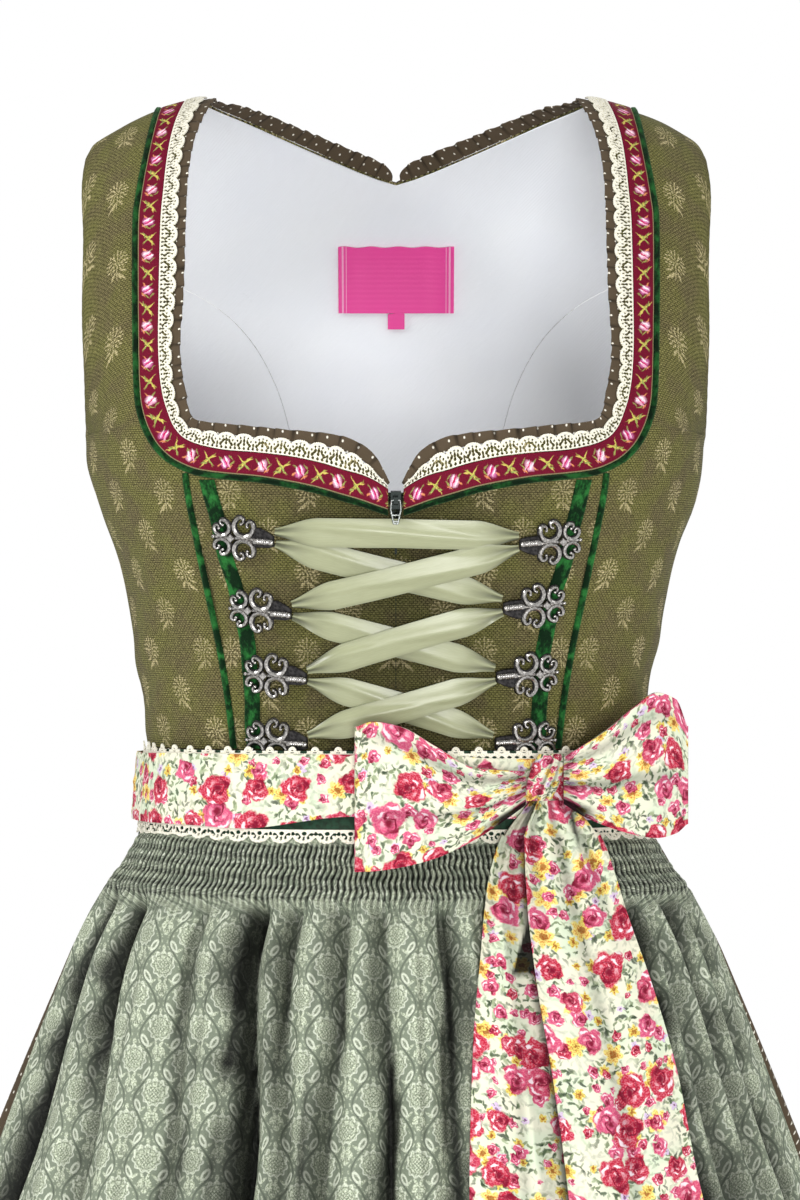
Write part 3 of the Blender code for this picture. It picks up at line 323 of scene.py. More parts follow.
def on_grain(angle, level, centre):
    """Each spot's place on cloth whose grain runs straight up the garment at the angle centre."""
    share = np.linspace(0, 1, 17)
    line = skin(centre + (angle[..., None] - centre) * share, np.repeat(level[..., None], 17, -1))
    around = np.linalg.norm(np.diff(line, axis=-2), axis=-1).sum(-1)
    return pair(around * np.sign(angle - centre), level)


def cloth(name, outer, inner, look, flat=None, ring=False, sharp=50, hollow=None):
    """A closed piece between two grids of points, in millimetres."""
    rows, columns = outer.shape[:2]
    count = rows * columns
    points = np.concatenate([outer.reshape(-1, 3), inner.reshape(-1, 3)])
    number = np.arange(count).reshape(rows, columns)
    if ring:
        number = np.hstack([number, number[:, :1]])
    faces = [grid(rows, columns, 0, ring), grid(rows, columns, count, ring)[:, ::-1]]
    faces += [strip(number[0] + count, number[0]), strip(number[-1], number[-1] + count)]
    if not ring:
        faces += [strip(number[:, 0], number[:, 0] + count)]
        faces += [strip(number[:, -1] + count, number[:, -1])]
    flat = along_cloth(outer) if flat is None else flat
    flat = np.concatenate([flat.reshape(-1, 2)] * 2)
    if hollow is not None:
        hollow = np.concatenate([np.broadcast_to(hollow, (rows, columns)).ravel()] * 2)
    faces = right_way_out(points, np.concatenate(faces))
    return mesh_piece(name, points, faces, flat, look, sharp=sharp, hollow=hollow)


def count_of(*pieces):
    return sum(len(face.vertices) - 2 for piece in pieces for face in piece.data.polygons)


# %% [markdown]
# Cut-out trims, such as lace, start as a fine grid that carries one number a point: above 0 is
# thread and below 0 is a hole. Each square is clipped where the number passes 0, which gives clean
# round edges.

# %% Lace cutter


def clipped(s, t, keep):
    """Points (s, t) and faces of the grid where keep is above 0, clipped along its zero line."""
    points, faces, made = [], [], {}

    def corner(r, c):
        key = (r, c)
        if key not in made:
            made[key] = len(points)
            points.append((s[r, c], t[r, c]))
        return made[key]

    def crossing(a, b):
        key = (a, b) if a < b else (b, a)
        if key not in made:
            low, high = keep[key[0]], keep[key[1]]
            share = min(max(low / (low - high), 0.02), 0.98)
            made[key] = len(points)
            points.append(
                tuple(grid[key[0]] + (grid[key[1]] - grid[key[0]]) * share for grid in (s, t))
            )
        return made[key]

    inside = keep > 0
    any_in = inside[:-1, :-1] | inside[:-1, 1:] | inside[1:, :-1] | inside[1:, 1:]
    for r, c in np.argwhere(any_in):
        ring = [(r, c), (r, c + 1), (r + 1, c + 1), (r + 1, c)]
        face = []
        for a, b in zip(ring, ring[1:] + ring[:1]):
            if inside[a]:
                face.append(corner(*a))
            if inside[a] != inside[b]:
                face.append(crossing(a, b))
        if len(face) > 2:
            faces.append(face)
    return np.array(points), faces


def pierced(name, s, t, keep, spot, thickness, look, flat):
    """A thin pierced piece. Spot gives the point at (s, t, depth) and flat its place on flat trim."""
    at, faces = clipped(s, t, keep)
    top = spot(at[:, 0], at[:, 1], 0)
    count = len(top)
    points = np.concatenate([top, spot(at[:, 0], at[:, 1], thickness)])
    edges = set()
    for face in faces:
        for a, b in zip(face, face[1:] + face[:1]):
            if (b, a) in edges:
                edges.remove((b, a))
            else:
                edges.add((a, b))
    every = list(faces) + [[v + count for v in reversed(face)] for face in faces]
    every += [[b, a, a + count, b + count] for a, b in sorted(edges)]
    a, b, c = (points[[face[i] for face in faces]] for i in (0, 1, 2))
    middle = at[[face[0] for face in faces]]
    depth = spot(middle[:, 0], middle[:, 1], thickness) - a
    if np.einsum("ij,ij->i", np.cross(b - a, c - a), depth).sum() > 0:
        every = [face[::-1] for face in every]
    laid = flat(at[:, 0], at[:, 1])
    return mesh_piece(name, points, every, np.concatenate([laid, laid]), look)

# %% [markdown]
# ## Colour and weave
#
# A pattern is a recipe: a shader group that takes a place on the flat cloth and gives masks back.
# Each cloth then paints those masks with its own yarn colours. Patterns are drawn in millimetres
# from ovals and rings, as a weaver's point paper builds a flower from a few threads.

# %% Wires: sums inside a shader


class Wire:
    """One value in a shader, which adds and scales like a number."""

    def __init__(self, tree, socket):
        self.tree, self.socket = tree, socket

    def maths(self, operation, *others):
        return add_node(self.tree, "Math", self, *others, operation=operation)[0]

    def __add__(self, other):
        return self.maths("ADD", other)

    def __sub__(self, other):
        return self.maths("SUBTRACT", other)

    def __mul__(self, other):
        return self.maths("MULTIPLY", other)

    def __truediv__(self, other):
        return self.maths("DIVIDE", other)

    def above(self, low, high):
        """0 below low, 1 above high, and smooth between. It falls instead if low is over high."""
        ends = (low, high, 0, 1) if low <= high else (high, low, 1, 0)
        return add_node(self.tree, "MapRange", self, *ends, interpolation_type="SMOOTHSTEP")[0]


def colour(text):
    """The linear colour of a usual hex code."""
    values = [int(text[i : i + 2], 16) / 255 for i in (0, 2, 4)]
    return tuple(v / 12.92 if v <= 0.04045 else ((v + 0.055) / 1.055) ** 2.4 for v in values)


def plug(value, slot):
    """Puts a number, a colour, its hex code or a wire into a node's slot."""
    value = colour(value) if isinstance(value, str) else value
    if isinstance(value, Wire):
        value.tree.links.new(value.socket, slot)
    elif slot.type == "RGBA":
        slot.default_value = (*value, 1)
    else:
        slot.default_value = value


def add_node(tree, kind, *values, inputs=(), **settings):
    """A new node's outputs. Its inputs are filled in order by the values, or by name or number."""
    node = tree.nodes.new("ShaderNode" + kind)
    for label, value in settings.items():
        setattr(node, label, value)
    for slot, value in zip(node.inputs, values):
        plug(value, slot)
    for label, value in dict(inputs).items():
        plug(value, node.inputs[label])
    return [Wire(tree, out) for out in node.outputs]


def strongest(first, *others):
    for other in others:
        first = first.maths("MAXIMUM", other)
    return first


def blend(mask, first, second):
    """The first colour where the mask is 0 and the second where it is 1."""
    return add_node(mask.tree, "Mix", inputs={0: mask, 6: first, 7: second}, data_type="RGBA")[2]


def vector(x, y, z=0):
    return add_node(x.tree, "CombineXYZ", x, y, z)[0]


def parts(wire):
    return add_node(wire.tree, "SeparateXYZ", wire)


def cloud(at, scale, detail=2, rough=0.5):
    """Soft noise, about 0.5 in the middle."""
    inputs = {"Vector": at, "Scale": scale, "Detail": detail, "Roughness": rough}
    return add_node(at.tree, "TexNoise", inputs=inputs)[0]


def warped(x, y, amount, scale):
    """The place pushed about by soft noise, as printed and woven edges are never quite even."""
    return (
        x + (cloud(vector(x, y), scale) - 0.5) * amount,
        y + (cloud(vector(x + 31.7, y - 12.9), scale) - 0.5) * amount,
    )


def recipe(name, **inputs):
    """Turns a drawing, from wires to named wires, into a shader group that can be placed."""

    def build(draw):
        tree = bpy.data.node_groups.new(name, "ShaderNodeTree")

        def socket(label, way):
            return tree.interface.new_socket(label, in_out=way, socket_type="NodeSocketFloat")

        for label, value in inputs.items():
            socket(label.replace("_", " "), "INPUT").default_value = value
        entry, end = tree.nodes.new("NodeGroupInput"), tree.nodes.new("NodeGroupOutput")
        drawn = draw(*(Wire(tree, out) for out in entry.outputs[: len(inputs)]))
        for number, (label, wire) in enumerate(drawn.items()):
            socket(label, "OUTPUT")
            plug(wire, end.inputs[number])

        def placed(first, *values, **named):
            """The group's outputs by name, in the shader that the first value comes from."""
            node = first.tree.nodes.new("ShaderNodeGroup")
            node.node_tree = tree
            for slot, value in zip(node.inputs, (first, *values)):
                plug(value, slot)
            for label, value in named.items():
                plug(value, node.inputs[label])
            return {out.name: Wire(first.tree, out) for out in node.outputs}

        return placed

    return build


# %% [markdown]
# The small recipes first: cells that repeat with every second column half a step lower (a half-drop
# repeat), an oval, a ring of petals, and the fine rib of a woven ground.

# %% Recipes for cells, ovals, petals and ribs


@recipe("Cells", Across=0, Along=0, Width=20, Height=20, Right=0, Up=0, Drop=0.5)
def cells(across, along, width, height, right, up, drop):
    across = across - right
    column = (across / width + 0.5).maths("FLOOR")
    odd = (column * 0.5).maths("FRACT") * 2
    along = along - up + odd * height * drop
    row = (along / height + 0.5).maths("FLOOR")
    return dict(X=across - column * width, Y=along - row * height, Column=column, Row=row)


@recipe("Oval", X=0, Y=0, Middle_x=0, Middle_y=0, Half_width=1, Half_height=1, Turn=0, Soft=0.15)
def oval_spot(x, y, middle_x, middle_y, half_width, half_height, turn, soft):
    x, y = x - middle_x, y - middle_y
    cosine, sine = turn.maths("COSINE"), turn.maths("SINE")
    u = (x * cosine + y * sine) / half_width
    v = (y * cosine - x * sine) / half_height
    far = (u * u + v * v).maths("SQRT")
    inside = ((soft + 1 - far) / (soft * 2)).maths("MINIMUM", 1).maths("MAXIMUM", 0)
    return dict(Mask=inside, Far=far)


@recipe("Ring of petals", X=0, Y=0, Radius=3, Half_depth=1, Number=8, Start=0, Gap=0)
def petal_ring(x, y, radius, half_depth, number, start, gap):
    far = (x * x + y * y).maths("SQRT")
    angle = x.maths("ARCTAN2", y)
    wave = (angle * number + start).maths("COSINE")
    ring = ((half_depth - (far - radius).maths("ABSOLUTE")) / 0.35 + 0.5).maths("MINIMUM", 1)
    petal = ((wave - gap) * 2.5 + 0.5).maths("MINIMUM", 1).maths("MAXIMUM", 0)
    return dict(Mask=ring.maths("MAXIMUM", 0) * petal)


@recipe("Woven rib", Across=0, Along=0, Rib=1.1, Dash=1.8)
def woven(across, along, rib, dash):
    """Fine cross ribs broken into dashes, each row set half a dash aside."""
    row = (along / rib).maths("FLOOR")
    shift = (row * 0.5).maths("FRACT")
    round_rib = ((along / rib).maths("FRACT") * pi).maths("SINE")
    thread = ((across / dash + shift).maths("FRACT") * pi).maths("SINE")
    return dict(Height=round_rib * (thread * 0.45 + 0.55), Gap=(round_rib * thread).above(0.45, 0.12))


def oval(x, y, middle_x, middle_y, half_width, half_height, turn=0, soft=0.15):
    return oval_spot(x, y, middle_x, middle_y, half_width, half_height, turn, soft)["Mask"]


def petals(x, y, radius, half_depth, number, start=0, gap=0):
    return petal_ring(x, y, radius, half_depth, number, start, gap)["Mask"]


print("small recipes:", bpy.data.node_groups.keys())

# %% [markdown]
# The bodice cloth has a small woven flower with a few leaves. The apron's damask has a scalloped
# medallion with a netted heart, two curled leaves and a bud below.

# %% Recipes for the bodice sprig and the apron's damask


@recipe("Sprig", X=0, Y=0)
def sprig(x, y):
    x, y = warped(x, y, 3.4, 0.3)
    flower_y = y - 1.6
    rings = [
        petals(x, flower_y, *ring)
        for ring in (
            (0.9, 0.6, 4, 0.4, -0.1), (2.6, 0.85, 8, 1.1, 0.15),
            (4.5, 0.85, 12, 0.2, 0.25), (6.1, 0.6, 17, 0.9, 0.35),
        )
    ]
    leaves = [
        oval(x, y, *leaf, 0.3)
        for leaf in (
            (-2.6, -6.6, 0.7, 2.9, -0.9), (-4.4, -4.4, 0.6, 1.8, -1.2), (2.1, -5.9, 0.6, 2.1, 0.8),
            (-0.4, -6.4, 0.4, 2.4, -0.2), (-4.6, -8.4, 0.6, 1.6, -0.6),
        )
    ]
    return dict(Mask=strongest(*rings, *leaves))


@recipe("Damask motif", X=0, Y=0)
def damask_motif(x, y):
    side = x.maths("ABSOLUTE")
    head_y = y - 3.4
    far = (x * x + head_y * head_y * 1.3).maths("SQRT")
    angle = x.maths("ARCTAN2", head_y)
    scallop = (angle * 11).maths("COSINE")
    # The head is a shell: round and scalloped above, and drawn in toward its foot.
    inward = (head_y * 0.62 + 7.2 - side).above(0, 0.4)
    head = (far - scallop * 0.6).above(7.6, 7.1) * inward
    rays = (x.maths("ARCTAN2", head_y + 7.5) * 21).maths("COSINE")
    lines = rays.above(-0.4, -0.85) * far.above(2.6, 3.6)
    inner = far.above(4.7, 5) * far.above(5.7, 5.4)
    one_way, other_way = (
        (slanted * 1.7).maths("SINE").maths("ABSOLUTE") for slanted in (x + head_y, x - head_y)
    )
    net = one_way.maths("MINIMUM", other_way)
    heart = oval(x, head_y, 0, -0.4, 3.5, 3, 0, 0.1) * net.above(0.55, 0.25)
    tail = strongest(
        oval(x, y, 0, -9, 2.2, 3.3, 0, 0.12),
        oval(side, y, 2.3, -7.4, 1.2, 2.1, 0.5, 0.15),
        oval(side, y, 1.4, -4.6, 0.8, 2, -0.5, 0.2),
    )
    tail_dark = strongest(
        oval(x, y, 0, -8.6, 0.6, 2, 0, 0.4), oval(side, y, 1.1, -9.9, 0.35, 1.2, 0.4, 0.4)
    )
    leaf = oval(side, y, 8.7, -2.9, 1.7, 3.3, -0.65, 0.12)
    leaf_dark = oval(side, y, 8.7, -2.9, 0.65, 2, -0.65, 0.25)
    curl = oval(side, y, 5.6, -4.9, 0.7, 2.4, 1, 0.3)
    bud = oval(x, y, 0, 11.3, 1.1, 1.5, 0, 0.25)
    light = strongest(head, tail, leaf, curl, bud)
    dark = strongest(lines * head * 0.7, inner * head * 0.8, heart, tail_dark, leaf_dark)
    edge = (far - scallop * 0.55).above(7.2, 6.9) * (far - scallop * 0.55).above(5.9, 6.5)
    return dict(Light=light, Dark=dark, Edge=strongest(edge, leaf - leaf_dark))


print("with the motifs:", bpy.data.node_groups.keys())

# %% [markdown]
# The sash and bow are printed: roses, open yellow flowers, small lilac ones and leaf strokes,
# scattered in no plain order. A Voronoi texture gives each flower its own cell, turn and chance of
# being there.

# %% Recipes for the printed flowers


@recipe("Scattered cells", Across=0, Along=0, Pitch=20, Size=6, Seed=0)
def scattered(across, along, pitch, size, seed):
    at = vector(across / pitch + seed, along / pitch + seed * 0.37)
    inputs = {"Vector": at, "Scale": 1, "Randomness": 0.72}
    _, tint, middle, *_ = add_node(at.tree, "TexVoronoi", inputs=inputs, voronoi_dimensions="2D")
    (x, y, _), (middle_x, middle_y, _), (turn, chance, grow) = parts(at), parts(middle), parts(tint)
    x, y = (x - middle_x) * pitch, (y - middle_y) * pitch
    turn, grow = turn * 6.283, size * (grow * 0.55 + 0.68)
    cosine, sine = turn.maths("COSINE"), turn.maths("SINE")
    return dict(X=(x * cosine + y * sine) / grow, Y=(y * cosine - x * sine) / grow, Chance=chance)


@recipe("Rose", X=0, Y=0)
def rose(x, y):
    """A rose of radius 1: overlapping petals that wind in to a dark heart."""
    far = (x * x + y * y).maths("SQRT")
    angle = x.maths("ARCTAN2", y)
    outline = far - (angle * 5).maths("COSINE") * 0.08 - (angle * 3 + 1).maths("SINE") * 0.09
    heart_x, heart_y = x - 0.14, y + 0.18
    heart_far = (heart_x * heart_x + heart_y * heart_y).maths("SQRT")
    swirl = (heart_far * 13 + angle * 2).maths("SINE") * 0.5 + 0.5
    petal = (heart_far * 9 - angle * 3 + 2).maths("SINE") * 0.5 + 0.5
    return dict(
        Mask=outline.above(0.95, 0.8),
        Light=swirl.above(0.5, 0.9) * (y - x * 0.6).above(-0.5, 0.5) * petal.above(0.1, 0.7),
        Deep=strongest(
            heart_far.above(0.34, 0.1),
            swirl.above(0.25, 0) * heart_far.above(0.85, 0.35),
            (x * 0.7 - y).above(0.25, 0.95) * petal.above(0.7, 0.2),
        ),
    )


@recipe("Open flower", X=0, Y=0, Number=5)
def open_flower(x, y, number):
    far = (x * x + y * y).maths("SQRT")
    lobe = (x.maths("ARCTAN2", y) * number * 0.5).maths("COSINE").maths("ABSOLUTE")
    reach = lobe * 0.36 + 0.6
    mask = ((reach - far) * 8).maths("MINIMUM", 1).maths("MAXIMUM", 0)
    return dict(Mask=mask, Heart=far.above(0.34, 0.22), Tip=(far / reach).above(0.5, 0.95))


print("with the flowers:", bpy.data.node_groups.keys())

# %% [markdown]
# ## The materials
#
# Each cloth is one Principled shader. Its colour comes from the recipes, with painted shade
# multiplied in where the mesh marks folds and gaps, its weave from a shallow bump, and its way of
# catching light (dull cotton, shiny satin, deep velvet) from roughness and sheen.

# %% Tools for making a material


def on_cloth(tree):
    """Across and along the flat cloth in millimetres, and both as a vector."""
    across, along, _ = parts(add_node(tree, "UVMap", uv_map="flat_cloth")[0])
    across, along = across * 1000, along * 1000
    return across, along, vector(across, along)


def shaded(tone):
    """The tone, darker by the mesh's hollow: painted shade where little light comes in, and a darker
    tone on a few trims.
    """
    hollow = add_node(tone.tree, "Attribute", attribute_name="hollow")[2]
    inputs = {0: hollow, 6: tone, 7: (0.025, 0.025, 0.025)}
    return add_node(tone.tree, "Mix", inputs=inputs, data_type="RGBA", blend_type="MULTIPLY")[2]


def material(name, slot, paint, deep=0.2, **shading):
    """A material whose paint gives a colour and a height. Deep is the height's size in mm."""
    made = bpy.data.materials.new(name)
    made.use_nodes = True
    tree = made.node_tree
    shader = tree.nodes["Principled BSDF"]
    tone, height = paint(*on_cloth(tree))
    plug(shaded(tone), shader.inputs["Base Color"])
    for label, value in shading.items():
        plug(value, shader.inputs[label.replace("_", " ")])
    if height is not None:
        inputs = {"Height": height, "Distance": deep * MM, "Strength": 1}
        plug(add_node(tree, "Bump", inputs=inputs)[0], shader.inputs["Normal"])
    return made


# %% Woven and printed cloths


def paint_jacquard(across, along, at):
    cell = cells(across, along, Width=21, Height=42, Right=3, Up=9)
    mirror = ((cell["Column"] + cell["Row"]) * 0.5).maths("FRACT").above(0.2, 0.3) * -2 + 1
    flower = sprig(cell["X"] * mirror, cell["Y"])["Mask"]
    rib = woven(across, along, 1.15, 2)
    patch = cloud(at, 0.055, 2).above(0.35, 0.68)
    fleck = cloud(vector(across * 0.6, along * 1.6), 1.1, 3).above(0.4, 0.72)
    streak = cloud(vector(across * 0.3, along * 1.5), 1, 4, 0.65)
    ground = blend(patch, "6e6c3a", "665c40")
    ground = blend(fleck * 0.6, ground, "a6a068")
    ground = blend(rib["Gap"] * (streak.above(0.3, 0.6) * 0.7 + 0.3), ground, "2a2811")
    ground = blend(streak.above(0.54, 0.7) * 0.5, ground, "34311a")
    broken = cloud(vector(across * 1.7, along), 1.15, 3).above(0.34, 0.52) * (rib["Height"] * 0.5 + 0.5)
    yarn = flower * broken * (cloud(at, 0.03).above(0.3, 0.6) * 0.4 + 0.6)
    tone = blend(yarn * 0.9, ground, blend(cloud(at, 0.5), "bfae78", "f0e2b4"))
    return tone, rib["Height"] * 0.7 + flower * 0.5


def paint_dots(across, along, at):
    cell = cells(across, along, Width=5.1, Height=10.2)
    dot = oval(cell["X"], cell["Y"], 0, 0, 0.62, 0.78, 0.3, 0.25)
    weave = woven(across, along, 0.5, 0.5)
    ground = blend(cloud(at, 0.03, 2), "514637", "615342")
    ground = blend(weave["Gap"] * 0.3, ground, "30281f")
    return blend(dot, ground, "ece7d8"), weave["Height"] + dot


def paint_damask(across, along, at):
    # Two sets of level cells, the second half a step aside and half a step up, interlock.
    across, along = across / 1.14, along / 1.14
    at = vector(across, along)
    size = dict(Width=29, Height=30, Drop=0)
    first, second = cells(across, along, **size), cells(across, along, Right=14.5, Up=15, **size)
    a = damask_motif(first["X"], first["Y"])
    b = damask_motif(second["X"], second["Y"])
    light, dark, edge = (strongest(a[key], b[key]) for key in ("Light", "Dark", "Edge"))
    # A wavy line runs between the motifs, with a chain of light stitches along both its sides.
    from_line = first["X"].maths("ABSOLUTE") - 7.25 - (first["Y"] * (2 * pi / 30)).maths("COSINE") * 4.2
    aside = from_line.maths("ABSOLUTE")
    chain = (aside - 1.5).maths("ABSOLUTE").above(0.55, 0.25)
    chain = chain * (along * 2.1).maths("SINE").above(-0.4, 0.1)
    line = aside.above(0.65, 0.3)
    weave = woven(across, along, 0.6, 0.6)
    speck = cloud(vector(across, along * 1.6), 1.9, 2).above(0.42, 0.6)
    ground = blend(cloud(at, 0.05, 2), "848d7c", "939d87")
    ground = blend(line * 0.5, ground, "4a5247")
    shine = cloud(at, 1.2, 3).above(0.36, 0.62)
    motif = blend(shine, "98a487", "edf4db")
    tone = blend(strongest(light, chain * (light * -1 + 1) * 0.7), ground, motif)
    tone = blend(edge * 0.75, tone, "f2f8e4")
    tone = blend(dark * 0.62, tone, "5f6958")
    tone = blend(speck * 0.28, tone, "465042")
    tone = blend(weave["Gap"] * 0.2, tone, "3c4438")
    return tone, light * 0.8 + weave["Height"] * 0.25 - dark * 0.5 - line * 0.6


def paint_rose_print(across, along, at):
    place_x, place_y = warped(across, along, 3.6, 0.33)
    grain = cloud(at, 1.1, 3)

    def scatter(pitch, size, seed):
        return scattered(place_x, place_y, pitch, size, seed)

    def chosen(cells, low):
        return cells["Chance"].above(low, low + 0.0002)

    tone = blend(cloud(at, 0.05, 2).above(0.4, 0.65), "eeebd4", "dde7cc")
    busy = cloud(at, 0.06, 1).above(0.38, 0.55) * 0.8 + 0.2
    for pitch, seed, ink, low in (
        (4.2, 3.1, "76875f", 0.2), (5.2, 11.7, "4c5e43", 0.25),
        (8, 6.3, "a9b48f", 0.2), (6.3, 91.3, "3a4836", 0.36),
    ):
        leaf = scatter(pitch, 1.75, seed)
        stroke = oval(leaf["X"], leaf["Y"], 0, 0, 0.42, 1.2, 0, 0.3) * chosen(leaf, low) * busy
        tone = blend(stroke * 0.9, tone, ink)
    small = scatter(19, 3, 23.9)
    flower = open_flower(small["X"], small["Y"], 5)
    shown = flower["Mask"] * chosen(small, 0.45) * grain.above(0.3, 0.5)
    tone = blend(shown, tone, blend(flower["Heart"], "d9c2e0", "8d5c8c"))
    for pitch, size, seed, low, pale, warm in (
        (20, 6.2, 41.3, 0.42, "fae988", "d67c2c"), (13, 3.4, 15.9, 0.5, "ecdc70", "b66a2c")
    ):
        bright = scatter(pitch, size, seed)
        flower = open_flower(bright["X"], bright["Y"], 6)
        ink = blend(flower["Tip"] * 0.6 + grain.above(0.38, 0.55) * 0.8, warm, pale)
        ink = blend(flower["Heart"] * 0.8, ink, "96501f")
        tone = blend(flower["Mask"] * chosen(bright, low), tone, ink)
    for pitch, size, seed, low in (
        (9.5, 2.7, 71.7, 0.62), (14, 4.3, 33.1, 0.6), (21.5, 8.6, 57.1, 0.26)
    ):
        cell = scatter(pitch, size, seed)
        bloom = rose(cell["X"], cell["Y"])
        ink = blend(cell["Chance"].above(0.6, 0.85), "c2243f", "d8577f")
        ink = blend(grain.above(0.45, 0.6) * 0.5, ink, "ea94a4")
        ink = blend(bloom["Light"], ink, "fdeaf0")
        ink = blend(bloom["Deep"] * 0.95, ink, "7c0e2b")
        tone = blend(bloom["Mask"] * chosen(cell, low), tone, ink)
    weave = woven(across, along, 0.45, 0.45)
    return tone, weave["Height"]


def paint_lining(across, along, at):
    twill = ((across + along) * 3.2).maths("SINE")
    patch = cloud(at, 0.02, 2)
    return blend(patch, "f1f4fc", "fafcff"), twill


DULL = {"Specular_IOR_Level": 0.12}  # yarn that hardly shines
OLIVE = material(
    "Olive jacquard", "olive_jacquard", paint_jacquard, 0.3, Roughness=0.9, Sheen_Weight=0.04, **DULL
)
DOTTED = material(
    "Dotted cotton", "dotted_cloth", paint_dots, 0.06, Roughness=0.9, Sheen_Weight=0.03, **DULL
)
DAMASK_CLOTH = material(
    "Sage damask", "damask", paint_damask, 0.25, Roughness=0.6, Specular_IOR_Level=0.2
)
ROSE_PRINT = material("Rose print", "rose_print", paint_rose_print, 0.04, Roughness=0.8, **DULL)
LINING = material(
    "Pale lining", "lining_cloth", paint_lining, 0.03, Roughness=0.55, Sheen_Weight=0.2
)

# %% Velvet, braid, lace, satin and label


def paint_velvet(across, along, at):
    """Pile that lies in patches, so that some of it shines green and the rest stays dark."""
    at = vector(across, along * 0.6)
    crushed = cloud(at, 0.16, 4, 0.65).above(0.42, 0.66)
    fine = cloud(at, 2.2, 2)
    tone = blend(crushed, "06200d", "2b7233")
    return blend(fine.above(0.5, 0.8) * 0.4, tone, "041a0a"), fine


BRAID_REPEAT = 19.5
# Each stroke: its middle across and up, half its width and height, its turn and its ink.
BRAID_STROKES = """
-7.7 1.5 0.4 1.5 0.9 d98a5a
-7.6 -1.4 0.4 1.4 -0.9 8d8a4e
-5 0.2 1.9 2.5 0.5 flower
-6 0.6 0.42 1.9 -0.6 fbe9ef
-4.9 -0.2 0.38 2.2 -0.6 c81e58
-4.1 -0.6 0.42 2.1 -0.6 fbe9ef
-3.1 0.8 0.45 2 -0.5 f2a7c6
-2.4 2.2 0.35 1.5 0.9 d98a5a
-1.5 0.3 0.35 1.6 0.7 9a9a52
-2.2 -2.2 0.38 1.5 -0.8 8d8a4e
4.3 0.9 0.36 3.7 0.75 d8c564
5.6 -0.9 0.36 3.5 0.95 b5b352
4.7 -0.5 0.36 3.9 -0.8 cfc060
6 0.8 0.34 2.8 -1 97a556
3.2 1.8 0.34 1.8 1.3 97a556
7.4 -1.6 0.34 1.8 1.25 d8c564
"""


def paint_braid(across, along, at):
    """A crimson ribbon with a woven rosebud and a cluster of crossed leaves."""
    across, y = warped(across, along - 5.2, 2, 0.5)
    ground = blend(cloud(vector(across, along), 1.2, 2), "5c0820", "7c0f2d")
    tone = ground
    halves = (across / BRAID_REPEAT).maths("FLOOR")
    x = across - (halves + 0.5) * BRAID_REPEAT
    lilac = (halves * 0.5).maths("FRACT") * 2
    flower_ink = blend(lilac, "f0b7cf", "d877ae")
    for stroke in BRAID_STROKES.strip().splitlines():
        *sizes, ink = stroke.split()
        mask = oval(x, y, *(float(size) for size in sizes), 0.3)
        tone = blend(mask, tone, flower_ink if ink == "flower" else ink)
    edge = along.above(9.6, 9.9)
    tone = blend(edge, tone, "8d8560")
    thread = ((across * 5).maths("SINE") * 0.5 + 0.5) * ((along * 7).maths("SINE") * 0.5 + 0.5)
    return blend(thread * 0.25, tone, "4a0c20"), thread


def paint_lace(across, along, at):
    knots = cloud(at, 1.6, 3, 0.7)
    return blend(knots.above(0.3, 0.6), "d5cfb2", "f8f5e6"), knots


def paint_satin(across, along, at):
    grain = cloud(vector(across * 0.15, along * 2), 1, 2)
    return blend(grain, "969977", "a9ad89"), grain


def paint_label(across, along, at):
    """A blank woven label: a pink ground and a thin pale border."""
    side = across.maths("ABSOLUTE")
    line = strongest(
        side.above(29, 29.2) * side.above(30.2, 30), side.above(27.4, 27.5) * side.above(27.9, 27.8)
    )
    weave = (along * 9).maths("SINE")
    return blend(line * 0.55, "f03c9c", "fbd0e8"), weave


PILE = dict(Roughness=0.95, Sheen_Weight=0.2, Sheen_Tint=(0.35, 0.7, 0.35))
VELVET = material("Green velvet", "velvet", paint_velvet, 0.3, **PILE, **DULL)
BRAID = material("Flower braid", "flower_braid", paint_braid, 0.12, Roughness=0.7, **DULL)
LACE = material("Cream lace", "lace", paint_lace, 0.25, Roughness=0.9, Sheen_Weight=0.2)
SATIN = material(
    "Sage satin", "satin", paint_satin, 0.02, Roughness=0.33, Anisotropic=0.5, Specular_IOR_Level=0.55
)
LABEL_SATIN = material("Label satin", "label_satin", paint_label, 0.03, Roughness=0.45)


# %% Metals and plain cloths


def plain(first, second=None, scale=0.6):
    """Paint of one tone, or two that mix in soft patches."""

    def paint(across, along, at):
        patch = cloud(at, scale, 3)
        return blend(patch.above(0.35, 0.65), first, second or first), patch

    return paint


polished, blackened = plain("c9c6c2", "8f8c89", 0.9), plain("4a4848", "2c2b2c", 0.5)
BRIGHT_SILVER = material(
    "Bright old silver", "antique_silver", polished, 0.05, Metallic=1, Roughness=0.26
)
DARK_SILVER = material(
    "Blackened silver", "antique_silver", blackened, 0.12, Metallic=1, Roughness=0.42
)
ZIP_METAL = material(
    "Zip metal", "zip_metal", plain("2e3331", "1d201f", 0.8), 0.03, Metallic=1, Roughness=0.45
)
PULL_METAL = material(
    "Pull wire", "zip_metal", plain("a9adaa", "8a8f8c", 0.8), 0.02, Metallic=1, Roughness=0.3
)
ZIP_TAPE = material("Zip tape", "zip_tape", plain("2c3324", "39402e", 1.5), 0.08, Roughness=0.9)
BAND_CLOTH = material(
    "Dark green band", "band_cloth", plain("0e2a16", "16402a", 0.4), 0.08, Roughness=0.8
)
print(len(bpy.data.materials), "materials,", len(bpy.data.node_groups), "recipes")

# %% [markdown]
# ## The bodice
#
# The bodice is cut in ten panels: two centre fronts that meet at the zip, two side fronts cut in
# one with the straps, two side backs and a wide centre back, sewn along princess seams. Each panel
# is a grid stretched between its four seams. Cloth under tension by the lacing is drawn into soft
# ridges.

